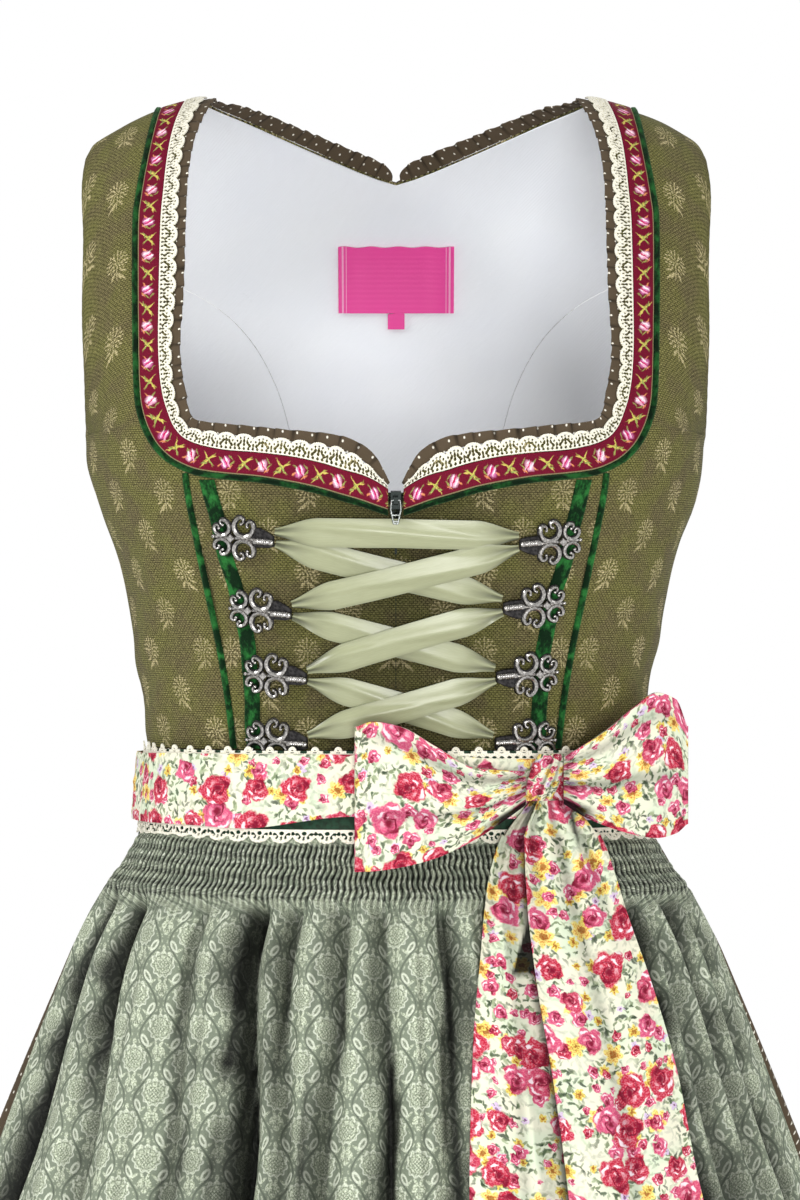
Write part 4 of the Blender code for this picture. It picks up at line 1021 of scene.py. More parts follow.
# %% Lines of the cut
NECKLINE = Table("""
station edge_x edge_z outer_x outer_z lace frill
0 102 342 123.5 336.7 0.42 5.3
1 108.1 327.1 126 323 0.42 5
2 111.7 311 128.6 307 0.4 4.6
3 113.2 291.4 131.1 289.3 0.38 4.3
4 113.5 272.5 132.6 272.6 0.4 4.3
5 113.8 238.1 132 238.7 0.41 4.3
6 115.3 206.9 131.2 207.4 0.36 4.4
7 114.7 191.4 130.6 190 0.33 5
8 113.2 181.1 129.6 178 0.3 5.6
9 111.2 173.2 126.6 167 0.27 5
10 108.2 166.8 121.3 157 0.28 4.6
11 103.4 163.1 112.9 149 0.32 4.5
12 94.7 161.2 99.4 143.2 0.36 4.6
13 84 160.1 85 141.1 0.4 4.7
14 68.7 158.3 70.7 139.7 0.38 4.8
15 53.5 156.5 56.5 137.4 0.37 5
16 38.3 154.4 41.3 134.3 0.4 5.5
17 26.2 151.4 27.9 130.4 0.42 6
18 17.1 146.6 18.1 127.6 0.35 5.6
19 10.2 140.2 10.6 125 0.22 3.8
20 4 134 4 122.8 0.1 1.5
""")
CORNER, NOTCH = 10, 20
PRINCESS = Table("""
height x
0 83
20 85.2
50 89.6
80 95.6
110 101.6
140 106.6
166.8 108.2
""")
CENTRE_EDGE = Table("height x; 0 0.15; 114 0.15; 122.5 2.95; 134 4")
CENTRE_HEIGHTS = (SEAM / 2, 25, 50, 75, 98, 114, 122.5, 134)
PRINCESS_HEIGHTS = (SEAM / 2, 25, 50, 75, 100, 122, 144, 166.8)
SIDE_HEIGHTS = (SEAM / 2, 25, 48, 71, 94, 117, 140, UNDERARM)
BUST_STATIONS = (20, 19, 18, 17, 15.5, 14, 12.5, 11, 10)
STRAP_STATIONS = (10, 9.5, 9, 8, 7, 6, 5.5, 5, 4.4, 3.7, 3, 2, 1, 0.4, 0)
ARMHOLE = Table("""
level front back
162 163.5 163.5
180 163 162.5
200 162.8 160.5
240 162.8 157.5
280 163.5 157.5
315 165 160
332 164 161
342 160 160
""")
BACK_SEAM = Table("""
step x height
0 47 0
1 49 40
2 51.5 90
3 54.5 140
4 60.5 175
5 70 202
6 84 224
7 104 241
8 130 252
9 157.5 257
""")
BACK_SEAM_KEYS = (0, 0.22, 0.37, 0.47, 0.57, 0.68, 0.79, 0.9, 1)
BACK_SEAM_END = 0.985
BACK_NECK = Table("""
x height
0 304.3
11.4 307.6
30.4 314.8
57.3 325.5
80 334.5
102 342
""")
BACK_NECK_KEYS = (0, 30, 58, 80, 95, 102)
WAIST = SEAM / 2
NECK_END = 102


def aside(spot, distance):
    """Spots moved round the garment by a distance."""
    return pair(spot[..., 0] + distance / section("width", spot[..., 1]), spot[..., 1])


def armhole(level, back=False):
    x = np.minimum(ARMHOLE("back" if back else "front", level), section("width", level))
    angle = np.arcsin(x / section("width", level))
    return pair(pi - angle if back else angle, level)


def neck(station, share=0, extra=0):
    """Spots across the neck trims: share 0 is the cloth's edge and 1 the braid's far edge."""
    station, share, extra = like(station, share, extra)
    edge = pair(NECKLINE("edge_x", station), NECKLINE("edge_z", station))
    across = pair(NECKLINE("outer_x", station), NECKLINE("outer_z", station)) - edge
    point = edge + across * share[..., None] + unit(across) * extra[..., None]
    angle, level = place(point[..., 0], point[..., 1])
    return pair(angle, np.where(station <= 0, CREST, level))


def curve(keys, spot):
    """A function of 0 to 1 that runs through spot at the keys, evenly from key to key."""
    keys = np.array(keys, float)
    return lambda t: spot(np.interp(np.asarray(t, float) * (len(keys) - 1), np.arange(len(keys)), keys))


def fill(bottom, top, left, right, columns, rows):
    """Spots that fill the four edges with an even grid."""
    across, up = np.linspace(0, 1, columns), np.linspace(0, 1, rows)
    u, v = np.meshgrid(across, up)
    u, v = u[..., None], v[..., None]
    low, high = bottom(across)[None], top(across)[None]
    first, last = left(up)[:, None], right(up)[:, None]
    corners = (1 - u) * (1 - v) * low[:, :1] + u * (1 - v) * low[:, -1:]
    corners = corners + (1 - u) * v * high[:, :1] + u * v * high[:, -1:]
    return (1 - u) * first + u * last + (1 - v) * low + v * high - corners


# %% Creases of the worn bodice
# Each crease: side (-1 left, 1 right), its x and height at both ends, width, and height of the
# ridge.
CREASES = rows_of("""
-1 163 159 153 132 5 1.5
-1 154 134 143 106 5 1.3
-1 131 4 120 36 4.5 1.4
-1 140 30 126 66 6 1
-1 122 70 131 110 5.5 0.8
1 160 150 150 118 5 1.4
1 152 128 138 96 5 1.1
1 129 6 119 40 4.5 1.4
1 141 40 128 78 6 1
1 66 96 30 90 5 0.7
-1 62 52 24 60 5 0.8
1 60 20 22 28 5 0.7
-1 60 16 20 10 5 0.6
1 148 215 140 262 5 0.5
-1 146 205 141 250 5 0.6
""")


def crease(points):
    """How far the ridges lift the bodice's front, and soft waves everywhere."""
    x, y, z = points[..., 0], points[..., 1], points[..., 2]
    lift = np.zeros(x.shape)
    for side, x_low, z_low, x_high, z_high, width, height in CREASES:
        a, b = np.array((side * x_low, z_low)), np.array((side * x_high, z_high))
        along = b - a
        share = np.clip(((x - a[0]) * along[0] + (z - a[1]) * along[1]) / along.dot(along), 0, 1)
        far = np.hypot(x - a[0] - along[0] * share, z - a[1] - along[1] * share)
        lift += 1.7 * height * bump(far, width) * (0.35 + 0.65 * np.sin(pi * share)) * (y < 5)
    long_waves = 0.35 * np.sin(x * 0.061 + z * 0.083 + y * 0.02)
    waves = long_waves + 0.25 * np.sin(x * 0.12 - z * 0.051 + 1.7)
    return lift + waves - 0.2


def puckers(points, edge):
    """Cloth drawn in beside a seam, with small puckers. Edge is the distance from the seam."""
    ripple = 0.12 * np.sin(points[..., 2] * 0.9 + 0.8 * np.sin(points[..., 0] * 0.13))
    return -0.45 * bump(edge, 1.3) + ripple * bump(edge - 3, 4)


def panel(name, spots, look, out, thickness, shift=0, side=1, creased=True, middle=0.5):
    """A panel of the bodice from spots, with the size of cloth it is cut from printed."""
    angle, level = side * spots[..., 0], spots[..., 1]
    base = off_skin(angle, level, out, shift)
    flat = along_cloth(base, middle)
    rows, columns = base.shape[:2]
    lift = np.zeros((rows, columns))
    # Painted shade: the lacing shades the middle of the front.
    deep = 0.62 * bump(base[..., 0], 60) * ease((142 - base[..., 2]) / 12) * (base[..., 1] < 0)
    if creased:
        first, last = flat[:, :1, 0], flat[:, -1:, 0]
        edge = np.minimum(np.abs(flat[..., 0] - first), np.abs(flat[..., 0] - last))
        lift = crease(base) + puckers(base, edge)
        fade = np.minimum(ease(edge / 4) * 0.9 + 0.1, ease(flat[..., 1] / 8) * 0.9 + 0.1)
        lift = np.where(lift > 0, lift * fade, lift)
    under = out + np.minimum(lift, 0.6) - thickness
    outer, inner = both_faces(angle, level, out + lift, under, shift)
    woven = on_grain(angle, level, side * pi) if shift > 0 else flat
    piece = cloth(name, outer, inner, look, woven, hollow=deep)
    area = np.linalg.norm(
        np.cross(outer[1:, :-1] - outer[:-1, :-1], outer[:-1, 1:] - outer[:-1, :-1]), axis=-1
    ).sum()
    # The paper pattern's rectangle round the panel, with the panel's own share of it.
    wide = float(flat[..., 0].max() - flat[..., 0].min())
    long = float(flat[..., 1].max())
    cut = f"cut {wide:.0f} x {long:.0f} mm, area {area / 100:.0f} cm2"
    print(f"{name}: {cut}, {count_of(piece)} triangles")
    return piece


# %% The panels


def front_centre(side, name):
    centre = place(CENTRE_EDGE("x", 0), WAIST)[0]
    princess = aside(pair(*place(PRINCESS("x", 0), WAIST)), -SEAM / 2)[0]
    notch, corner = neck(NOTCH)[0], neck(CORNER)[0]

    def at_waist(station):
        share = (neck(station)[..., 0] - notch) / (corner - notch)
        return pair(centre + (princess - centre) * share, WAIST)

    def at_neck(station):
        return aside(neck(station), -SEAM / 2 * ease((11 - station)))

    spots = fill(
        curve(BUST_STATIONS, at_waist),
        curve(BUST_STATIONS, at_neck),
        curve(CENTRE_HEIGHTS, lambda height: pair(*place(CENTRE_EDGE("x", height), height))),
        curve(PRINCESS_HEIGHTS, lambda h: aside(pair(*place(PRINCESS("x", h), h)), -SEAM / 2)),
        49,
        85,
    )
    return panel(name, spots, OLIVE, 0, CLOTH, TO_FRONT, side, middle=0)


def side_front(side, name):
    """Side front cut in one with the shoulder strap."""
    key = np.linspace(0, 1, 141) * 21
    below, to_bust = (key <= 7)[:, None], np.minimum(key, 7)
    seam_heights, side_heights = (
        np.interp(to_bust, np.arange(8), heights) for heights in (PRINCESS_HEIGHTS, SIDE_HEIGHTS)
    )
    seam = aside(pair(*place(PRINCESS("x", seam_heights), seam_heights)), SEAM / 2)
    neck_edge = neck(np.interp(np.maximum(key, 7) - 7, np.arange(15), STRAP_STATIONS))
    low = neck(CORNER)[1]
    levels = UNDERARM + (neck_edge[:, 1] - low) / (CREST - low) * (CREST - UNDERARM)
    inner = np.where(below, seam, neck_edge)
    outer = np.where(below, pair(pi / 2, side_heights), armhole(levels))
    share = np.linspace(0, 1, 25)[None, :, None]
    spots = inner[:, None] * (1 - share) + outer[:, None] * share
    return panel(name, spots, OLIVE, 0, CLOTH, TO_FRONT, side)


def back_seam(t, gap=0):
    """Spots along the curved back seam, moved aside by a gap."""
    step = np.asarray(t, float) * 9
    ahead = np.minimum(step + 0.1, 9)
    at, before, after = (
        pair(BACK_SEAM("x", key), BACK_SEAM("height", key)) for key in (step, ahead - 0.1, ahead)
    )
    along = unit(after - before)
    at = at + pair(along[..., 1], -along[..., 0]) * gap
    return pair(*place(at[..., 0], np.maximum(at[..., 1], WAIST), back=True))


LINING_GAP = 0.12


def back_centre_spots(columns, rows, apart):
    """Half of the centre back, from its middle to the curved seam and the armhole."""
    seam_end = back_seam(1)[1]
    edge_keys = list(BACK_SEAM_KEYS) + [1.35, 1.7, 1.9, 2]  # over 1 it runs up the armhole

    def edge(key):
        arm = armhole(seam_end + (CREST - seam_end) * np.clip(key - 1, 0, 1), back=True)
        return np.where((key <= 1)[..., None], back_seam(np.minimum(key, 1), -apart), arm)

    top_keys = (*BACK_NECK_KEYS, 122, 141, 160)

    def top(x):
        height = np.where(x <= NECK_END, BACK_NECK("height", x), shoulder(x))
        angle, level = place(x, height, back=True)
        return pair(angle, np.where(x >= NECK_END, CREST, level))

    ends = top(np.array(top_keys, float))[:, 0]
    shares = (ends - ends[0]) / (ends[-1] - ends[0])
    waist_end = float(back_seam(0, -apart)[0])
    centre_top = float(top(np.array(0))[1])
    return fill(
        curve(shares, lambda share: pair(pi + (waist_end - pi) * share, WAIST)),
        curve(top_keys, top),
        lambda v: pair(pi, WAIST + (centre_top - WAIST) * (1 - (1 - v) ** 1.15)),
        curve(edge_keys, edge),
        columns,
        rows,
    )


def back_centre(name, look, out, thickness, columns, rows, creased=True):
    half = back_centre_spots(columns, rows, SEAM / 2 if creased else LINING_GAP)
    other = half[:, :0:-1] * np.array((-1, 1)) + np.array((2 * pi, 0))
    spots = np.concatenate([other, half], axis=1)
    return panel(name, spots, look, out, thickness, TO_BACK, creased=creased)


def side_back(side, name, look, out, thickness, columns, rows, creased=True):
    seam_keys = [*BACK_SEAM_KEYS[:-1], BACK_SEAM_END]
    seam_end = back_seam(BACK_SEAM_END)[1]
    apart = SEAM / 2 if creased else LINING_GAP
    low = back_seam(0, apart)[0]
    tip = back_seam(BACK_SEAM_END, apart)

    def arm(u):
        found = armhole(seam_end + (UNDERARM - seam_end) * u**0.8, back=True)
        start = ease(1 - u / 0.12)[..., None]
        return found + (tip - found[:1]) * start

    spots = fill(
        lambda u: pair(low * (1 - u) + pi / 2 * u, WAIST),
        arm,
        curve(seam_keys, lambda t: back_seam(t, apart)),
        lambda v: pair(pi / 2, WAIST + (UNDERARM - WAIST) * v),
        columns,
        rows,
    )
    return panel(name, spots, look, out, thickness, TO_BACK, side, creased=creased)


jacquard = OLIVE, 0, CLOTH
for side, letter in SIDES:
    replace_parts(front_centre(side, f"Front_{letter}"), f"bodice_front_{letter}")
    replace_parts(side_front(side, f"Side_front_{letter}"), f"bodice_side_front_{letter}")
    piece = side_back(side, f"Side_back_{letter}", *jacquard, 31, 81)
    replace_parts(piece, f"bodice_side_back_{letter}")
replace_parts(back_centre("Back", *jacquard, 31, 97), "bodice_back")

# %% [markdown]
# Only the back is lined with the pale cloth that shows through the neck. A woven label, left blank
# here, is sewn to it by its ends, with a small tab for the size below.

# %% Lining and label
LINING_OUT, LINING_THICK = -2.15, 1
pale = LINING, LINING_OUT, LINING_THICK
for side, letter in SIDES:
    piece = side_back(side, f"Lining_side_{letter}", *pale, 17, 41, creased=False)
    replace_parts(piece, f"lining_side_back_{letter}")
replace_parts(back_centre("Lining_back", *pale, 25, 57, creased=False), "lining_back")

LABEL_OUT, LABEL_THICK = -4.25, 1
for name, (left, right), (low, high), columns, cut in (
    ("Label", (-32, 32), (236, 272.5), 33, (0.064, 0.0365)),
    ("Label_tab", (-4.6, 4.6), (227, 235.7), 9, (0.0101, 0.0101)),
):
    x, height = np.meshgrid(np.linspace(left, right, columns), np.linspace(low, high, 19))
    height = height + 0.35 * np.sin(x * 0.42 + 1) * (height - low) / (high - low)
    ripple = 0.15 * np.sin(x * 0.35) * ease((np.abs(x) - 5) / 20)
    outs = LABEL_OUT + ripple, LABEL_OUT - LABEL_THICK + ripple
    faces = both_faces(*place(x, height, back=True), *outs, TO_BACK)
    piece = cloth(name, *faces, LABEL_SATIN, pair(x, height - low))
    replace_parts(piece, name.lower())

# %% [markdown]
# ## Trims round the neck
#
# A knife-pleated frill of the skirt's cloth stands up behind a crochet lace. A woven braid covers
# the lace's foot and a velvet piping closes it off. On a real dress each is a bought or cut strip
# sewn on flat; at the corners the seamstress eases it round.

# %% Tools for strips


def declare(piece, wide, long, node=None):
    """Puts a piece of cloth in its plain solid's place and states its cut, in millimetres.

    The area is the share of the cut that the piece takes up.
    """
    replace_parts(piece, node or piece.name.lower())
    areas = np.empty(len(piece.data.polygons), np.float32)
    piece.data.polygons.foreach_get("area", areas)
    wide, long = (max(float(size) * MM, LEAST_SIDE) for size in (wide, long))
    share = min(max(float(areas.sum()) / 2 / (wide * long), LEAST_SHARE), 1)
    share * wide * long
    print(f"{piece.name}: cut {wide / MM:.0f} x {long / MM:.0f} mm, {count_of(piece)} triangles")


def lengths(points):
    """How far along a line each of its points lies."""
    return np.concatenate([[0], np.cumsum(np.linalg.norm(np.diff(points, axis=0), axis=1))])


def along_line(values, at, where):
    """Values given at the lengths at, read at where."""
    return np.stack([np.interp(where, at, values[..., i]) for i in range(values.shape[-1])], -1)


def padded_strip(name, spots, low, high, look, shift=TO_FRONT, power=2, fuzz=0, flat=None, deep=0):
    """A strip on the skin with a rounded top. Rows of spots run along it and columns across it."""
    rows, columns = spots.shape[:2]
    across = np.linspace(-1, 1, columns)
    swell = (1 - np.abs(across) ** power) ** (1 / power)
    at = np.arange(rows)[:, None]
    waves = np.sin(at * 2.3 + 3 * np.sin(at * 0.37)) + np.sin(at * 0.71 + across * 7)
    rough = fuzz * waves * swell
    angle, level = spots[..., 0], spots[..., 1]
    top = low + 0.12 + (high - low - 0.12) * swell + rough
    faces = both_faces(angle, level, top, low, shift)
    return cloth(name, *faces, look, flat, hollow=np.full((rows, columns), deep))


def sided(spots, side):
    return spots * np.array((side, 1))


# %% Frills
FRILL_PITCH, FRILL_FOLD, FRILL_GAP, FRILL_END, FRILL_THICK = 10.6, 0.8, 0.6, 0.7, 0.8


def edge_line(spots, shift, side):
    """Points, normals and directions inward past a cloth's edge."""
    points = off_skin(spots[:, 0], spots[:, 1], 0, shift)
    normal = outward(spots[:, 0], spots[:, 1])
    inward = unit(np.cross(normal, -np.gradient(points, axis=0))) * side
    return points, normal, inward


def frill(name, line, width, seed, height_of_fold=FRILL_FOLD):
    """A knife-pleated frill. Width gives how far it stands past the edge at a length along it."""
    points, normal, inward = line
    at = lengths(points)
    first, last = FRILL_END, at[-1] - FRILL_END
    number = round((last - first) / FRILL_PITCH)
    along = np.linspace(first, last, number * 12 + 1)
    turn = (along - first) / (last - first) * number
    turn = turn + 0.16 * np.sin(turn * 1.7 + seed) + 0.09 * np.sin(turn * 4.1 + 2 * seed)
    part = turn % 1
    fold = np.where(part < 0.84, 1 - 2 * part / 0.84, (part - 0.84) / 0.08 - 1)
    point, out, into = (along_line(values, at, along) for values in (points, normal, inward))
    out, into = unit(out), unit(into)
    rise = np.linspace(0, 1, 8)[:, None]
    reach = width(along)[None] * (1 - 0.02 * (1 - fold[None]) * rise)
    sway = 0.15 * np.sin(along * 0.9 + seed)[None]
    lift = height_of_fold * fold[None] * rise**0.8 - 0.15 + sway * rise
    past = FRILL_GAP + (reach - FRILL_GAP) * rise
    outer = point + into * past[..., None] + out * lift[..., None]
    inner = outer - out * FRILL_THICK
    flat = pair(along * 1.35, width(along)[None] * rise)
    # Painted shade where each pleat turns under, stronger toward the frill's edge.
    deep = 0.85 * bump(part - 0.9, 0.07)[None] * (0.4 + 0.6 * rise)
    piece = cloth(name, outer, inner, DOTTED, flat, sharp=35, hollow=deep)
    side = name.removeprefix("Neck_frill_")
    under, node = f"Front_{side}", f"neck_frill_front_{side}"
    if side == "back":
        under, node = "Lining_back", None
    declare(piece, (last - first) * 1.15, 10.2, node)


for side, letter in SIDES:
    stations = np.linspace(0, NOTCH, 401)
    line = edge_line(sided(neck(stations), side), TO_FRONT, side)
    at = lengths(line[0])
    wide = NECKLINE("frill", stations)
    frill(f"Neck_frill_{letter}", line, lambda s: np.interp(s, at, wide) * 1.3, 1.3 + side)

xs = np.linspace(-NECK_END, NECK_END, 409)
angle, level = place(xs, BACK_NECK("height", np.abs(xs)), back=True)
line = edge_line(pair(angle, np.where(np.abs(xs) >= NECK_END, CREST, level)), TO_BACK, 1)
at = lengths(line[0])
# The back frill is 11 mm tall, lower at the shoulders, and rounds down to the notch in the middle.
full = 6.8 + 4.2 * ease((NECK_END - np.abs(xs)) / 14)
inward_share = np.clip(1 - (np.abs(xs) - 2.5) / 17, 0, 1)
full = 0.9 + (full - 0.9) * np.sqrt(np.clip(1 - inward_share**2.4, 0, 1))
frill("Neck_frill_back", line, lambda s: np.interp(s, at, full), 0.4, 0.45)

# %% Crochet lace of the neck
LACE_HIGH, LACE_FULL = 1.3, 7
FAN_PITCH = 9.6


def hole(x, y, middle_x, middle_y, half_width, half_height, turn=0):
    """Below 0 inside an oval hole, in millimetres or so."""
    u, v = x - middle_x, y - middle_y
    a = (u * math.cos(turn) + v * math.sin(turn)) / half_width
    b = (v * math.cos(turn) - u * math.sin(turn)) / half_height
    return (np.hypot(a, b) - 1) * min(half_width, half_height)


def across_repeat(s, pitch):
    """How far s is from the middle of its repeat."""
    return (s / pitch + 0.5) % 1 * pitch - pitch / 2


def fan_of_holes(x, y, turns, foot, aside, up, half_width, half_height):
    """Five holes spread round a foot at height foot, the middle one upright."""
    near, far = turns
    size = half_width, half_height
    return [
        hole(x, y, aside * math.sin(turn), foot + up * math.cos(turn), *size, turn)
        for turn in (-far, -near, 0, near, far)
    ]


def fan(s, y):
    """Lace with a fan in each scallop: above 0 is thread. y runs from its foot to 7 at the tips."""
    x = across_repeat(s, FAN_PITCH)
    dome = np.sqrt(np.clip(1 - (2 * np.abs(x) / FAN_PITCH) ** 2, 0, 1))
    picot = 0.28 * np.abs(np.sin(pi * s / 1.2))
    keep = 4.4 + 2.4 * dome + picot - y
    holes = [
        hole(x, y, 0, 2.6, 0.7, 0.6),
        hole(across_repeat(s, 2.4), y, 0, 0.95, 0.7, 0.5),
        hole(FAN_PITCH / 2 - np.abs(x), y, 0, 2.5, 0.5, 0.8),
        *fan_of_holes(x, y, (0.55, 1.1), 0.9, 3.3, 3.1, 0.6, 0.85),
        *fan_of_holes(x, y, (0.45, 0.9), 1.1, 4.5, 4.5, 0.55, 0.42),
    ]
    return np.minimum.reduce([keep, y + 0.4, *(one - 0.07 for one in holes)])


def lace_strip(name, spot_at, length, wide, pattern):
    """Lace on a strip: spot_at(s, share) gives its spots, and pattern its threads and holes."""
    s, share = np.meshgrid(np.linspace(0, length, round(length / 0.55)), np.linspace(0, 1, 16))

    def spot(along, across, depth):
        spots, out, shift = spot_at(along, across)
        knot = 0.1 * np.sin(along * 5.1) * np.sin(across * 31)
        return off_skin(spots[:, 0], spots[:, 1], out - depth * 0.75 + knot, shift)

    def flat(along, across):
        return pair(along, across * wide)

    return pierced(name, s, share, pattern(s, share * wide), spot, 1, LACE, flat)


def lace_share(station):
    return NECKLINE("lace", station) - 0.02


for side, letter in SIDES:
    stations = np.linspace(0, NOTCH, 801)
    middle = off_skin(*np.moveaxis(neck(stations, lace_share(stations) / 2), -1, 0), 0)
    at = lengths(middle)

    def spot_at(s, share, stations=stations, at=at, side=side):
        station = np.interp(s, at, stations)
        found = neck(station, lace_share(station) * (1 - share) - 0.09 * share)
        return sided(found, side), LACE_HIGH + 0.25 * np.sin(share * pi), TO_FRONT

    piece = lace_strip(f"Neck_lace_{letter}", spot_at, at[-1], LACE_FULL, fan)
    declare(piece, at[-1], 10.2)

# %% Braid and piping of the neck
for side, letter in SIDES:
    stations = np.linspace(0, NOTCH, 301)
    share = np.linspace(0, 1, 11)[None]
    station = np.repeat(stations[:, None], 11, 1)
    spots = sided(neck(station, NECKLINE("lace", station) * (1 - share) + share), side)
    middle = lengths(off_skin(spots[:, 5, 0], spots[:, 5, 1], 0))
    flat = pair(middle[:, None], 10.2 * share)
    swell = 0.35 * (1 - (2 * share - 1) ** 6) + 0.06 * np.sin(middle * 0.55)[:, None]
    faces = both_faces(spots[..., 0], spots[..., 1], 1 + swell, 0.3, TO_FRONT)
    piece = cloth(f"Neck_braid_{letter}", *faces, BRAID, flat)
    declare(piece, middle[-1], 12)

    spots = sided(neck(np.repeat(stations[:, None], 9, 1), 1, np.linspace(0.3, 3.3, 9)[None]), side)
    flat = pair(np.linspace(0, 3.3, 9)[None], middle[:, None])
    how = dict(fuzz=0.06, flat=flat, deep=0.45)
    piece = padded_strip(f"Neck_piping_{letter}", spots, 0.3, 2, VELVET, **how)
    declare(piece, 12, middle[-1])

# %% [markdown]
# Two velvet ribbons carry the hooks, and a velvet piping covers each princess seam.

# %% Velvet bands and seam pipings
VELVET_BAND = Table("""
height x
1 72.4
16 73.2
40 74.2
57 76
81 81
98 86
121 91.2
138 95.6
""")
for side, letter in SIDES:
    for name, table, half, top, columns, power in (
        ("Velvet_band", VELVET_BAND, 4, (138, 1.5), 15, 4),
        ("Seam_piping", PRINCESS, 1.6, (141.5, 1.9), 9, 2),
    ):
        height = np.linspace(1, top[0], 161)[:, None]
        wobble = 0.25 * np.sin(height * 0.21 + side) if half > 2 else 0
        x = table("x", height) + wobble + np.linspace(-half, half, columns)[None]
        spots = sided(pair(*place(x, np.broadcast_to(height, x.shape))), side)
        flat = pair(x - table("x", height), height)
        how = dict(power=power, fuzz=0.05, flat=flat)
        piece = padded_strip(f"{name}_{letter}", spots, 0.3, top[1], VELVET, **how)
        declare(piece, 12, top[0])

# %% [markdown]
# ## Silver hooks
#
# The lacing hooks are cast in old silver: four crescents with ball ends round a square stud, and a
# tongue with a ribbed bar that holds the ribbon. A casting like this is carved in wax first. Here
# rods are swept along the crescents, and balls and plates are added. The high parts are polished
# and the tongue is black.

# %% Rods, balls and plates


def rod(path, radius, sides=8, flatten=1):
    """Points and faces of a round rod along a flat path, closed at both ends."""
    along = unit(np.gradient(path, axis=0))
    across = unit(np.cross(along, np.array((0, 0, 1))))
    up = np.cross(across, along)
    turn = np.linspace(0, 2 * pi, sides, endpoint=False)
    cosine, sine = np.cos(turn)[None, :, None], np.sin(turn)[None, :, None]
    ring = across[:, None] * cosine + up[:, None] * sine * flatten
    points = path[:, None] + ring * np.asarray(radius)[:, None, None]
    count = len(path) * sides
    faces = grid(len(path), sides, 0, ring=True).tolist()
    ends = [list(range(sides)), list(range(count - sides, count))[::-1]]
    return points.reshape(-1, 3), faces + ends


def ball(middle, radius, sides=10, rings=7):
    """Points and faces of a ball."""
    lift = np.linspace(-pi / 2 + 0.12, pi / 2 - 0.12, rings)
    nothing = np.zeros(rings)
    path = np.array(middle) + np.stack((nothing, nothing, np.sin(lift) * radius), -1)
    turn = np.linspace(0, 2 * pi, sides, endpoint=False)
    wide = np.cos(lift) * radius
    circle = np.stack((np.cos(turn), np.sin(turn), np.zeros(sides)), -1)
    points = path[:, None] + circle[None] * wide[:, None, None]
    faces = grid(rings, sides, 0, ring=True).tolist()
    ends = [list(range(sides))[::-1], list(range((rings - 1) * sides, rings * sides))]
    return points.reshape(-1, 3), faces + ends


def slab(outline, low, high, bevel=0.3):
    """Points and faces of a flat plate with a bevelled top edge."""
    outline = np.array(outline, float)
    middle = outline.mean(0)
    small = outline + unit(middle - outline) * bevel
    rows = [(outline, low), (outline, high - bevel), (small, high)]
    points = np.concatenate([np.column_stack((xy, np.full(len(xy), z))) for xy, z in rows])
    count = len(outline)
    faces = grid(3, count, 0, ring=True).tolist()
    return points, faces + [list(range(count))[::-1], list(range(2 * count, 3 * count))]


def join(solids):
    """Several solids' points and faces as one."""
    points, faces, start = [], [], 0
    for at, sides in solids:
        points.append(at)
        faces += [[v + start for v in face] for face in sides]
        start += len(at)
    return np.concatenate(points), faces


def crescent(middle, radius, opening, thick):
    """A C-scroll that opens toward an angle: a bright rod, and a dark one below that frames it.

    From the middle of its back each half turns on a wide circle and then curls in to a ball.
    """
    turned = np.radians(np.linspace(0, 318, 27))
    tight = radius * (1 - 0.68 * ease((turned - math.radians(112)) / math.radians(34)))
    halves = []
    for way in (1, -1):
        heading = opening + way * (turned - pi / 2)
        steps = pair(np.cos(heading), np.sin(heading)) * tight[:, None] * (turned[1] - turned[0])
        start = np.array(middle) - radius * np.array((math.cos(opening), math.sin(opening)))
        halves.append(start + np.cumsum(steps, axis=0) - steps[:1] / 2)
    path = np.concatenate([halves[1][::-1], halves[0][1:]])
    share = np.linspace(-1, 1, len(path))
    thin = thick * (1 - 0.48 * ease((np.abs(share) - 0.1) / 0.75))
    height = 1.35 + 0.3 * (1 - share**2)
    shine = [rod(np.column_stack((path, height)), thin, 7, flatten=0.8)]
    frame_below = [rod(np.column_stack((path, height - 0.75)), thin + 0.5, 6, flatten=0.55)]
    for end in (path[0], path[-1]):
        shine.append(ball((*end, 1.5), 0.95, 8, 6))
    return shine, frame_below


# %% One hook, set down eight times
HOOKS = {
    "l1": (-1, 59.7, 108.8),
    "r1": (1, 60.7, 106.9),
    "l2": (-1, 51.3, 72.3),
    "r2": (1, 52.8, 74.8),
    "l3": (-1, 43.8, 39),
    "r3": (1, 49.4, 39.6),
    "l4": (-1, 43.4, 5.2),
    "r4": (1, 48.6, 4.8),
}
HOOK_LENGTH, HOOK_OUT = 33.5, 1.95

bright, dark = [], []
for middle, radius, tilt, thick in (((0.6, 6.2), 5.3, 20, 1.15), ((-11.3, 5), 4.1, -42, 0.95)):
    for flip in (1, -1):
        shine, below = crescent(
            (middle[0], middle[1] * flip), radius, math.radians(90 * flip - tilt * flip), thick
        )
        bright, dark = bright + shine, dark + below
bright.append(ball((-15.9, 0, 1.2), 1.15))
stud = [(-3.7, 0), (-6.1, 2.4), (-8.5, 0), (-6.1, -2.4)]
bright.append(slab(stud, 0.2, 3.3, 0.5))
for start, end in ((-15, -7.5), (-4.7, 6)):
    line = np.column_stack((np.linspace(start, end, 6), np.zeros(6), np.full(6, 0.9)))
    bright.append(rod(line, np.full(6, 0.8)))
bar_at = np.linspace(6, 16.6, 50)
ribbed = np.abs(bar_at - 11.2) < 3.4
ribs = 1.45 + 0.17 * np.cos(bar_at * 5.2) * ribbed - 0.5 * ease((bar_at - 15.6) / 1)
bright.append(rod(np.column_stack((bar_at, np.full(50, -0.6), np.full(50, 2))), ribs, flatten=0.7))
tongue = rows_of("3.6 -4.4; 9 -4; 13.6 -3.9; 16.7 -2.9; 16.7 2.4; 13 4.6; 9 6.2; 3.6 5.2")
dark.append(slab(tongue, 0, 1.1, 0.4))
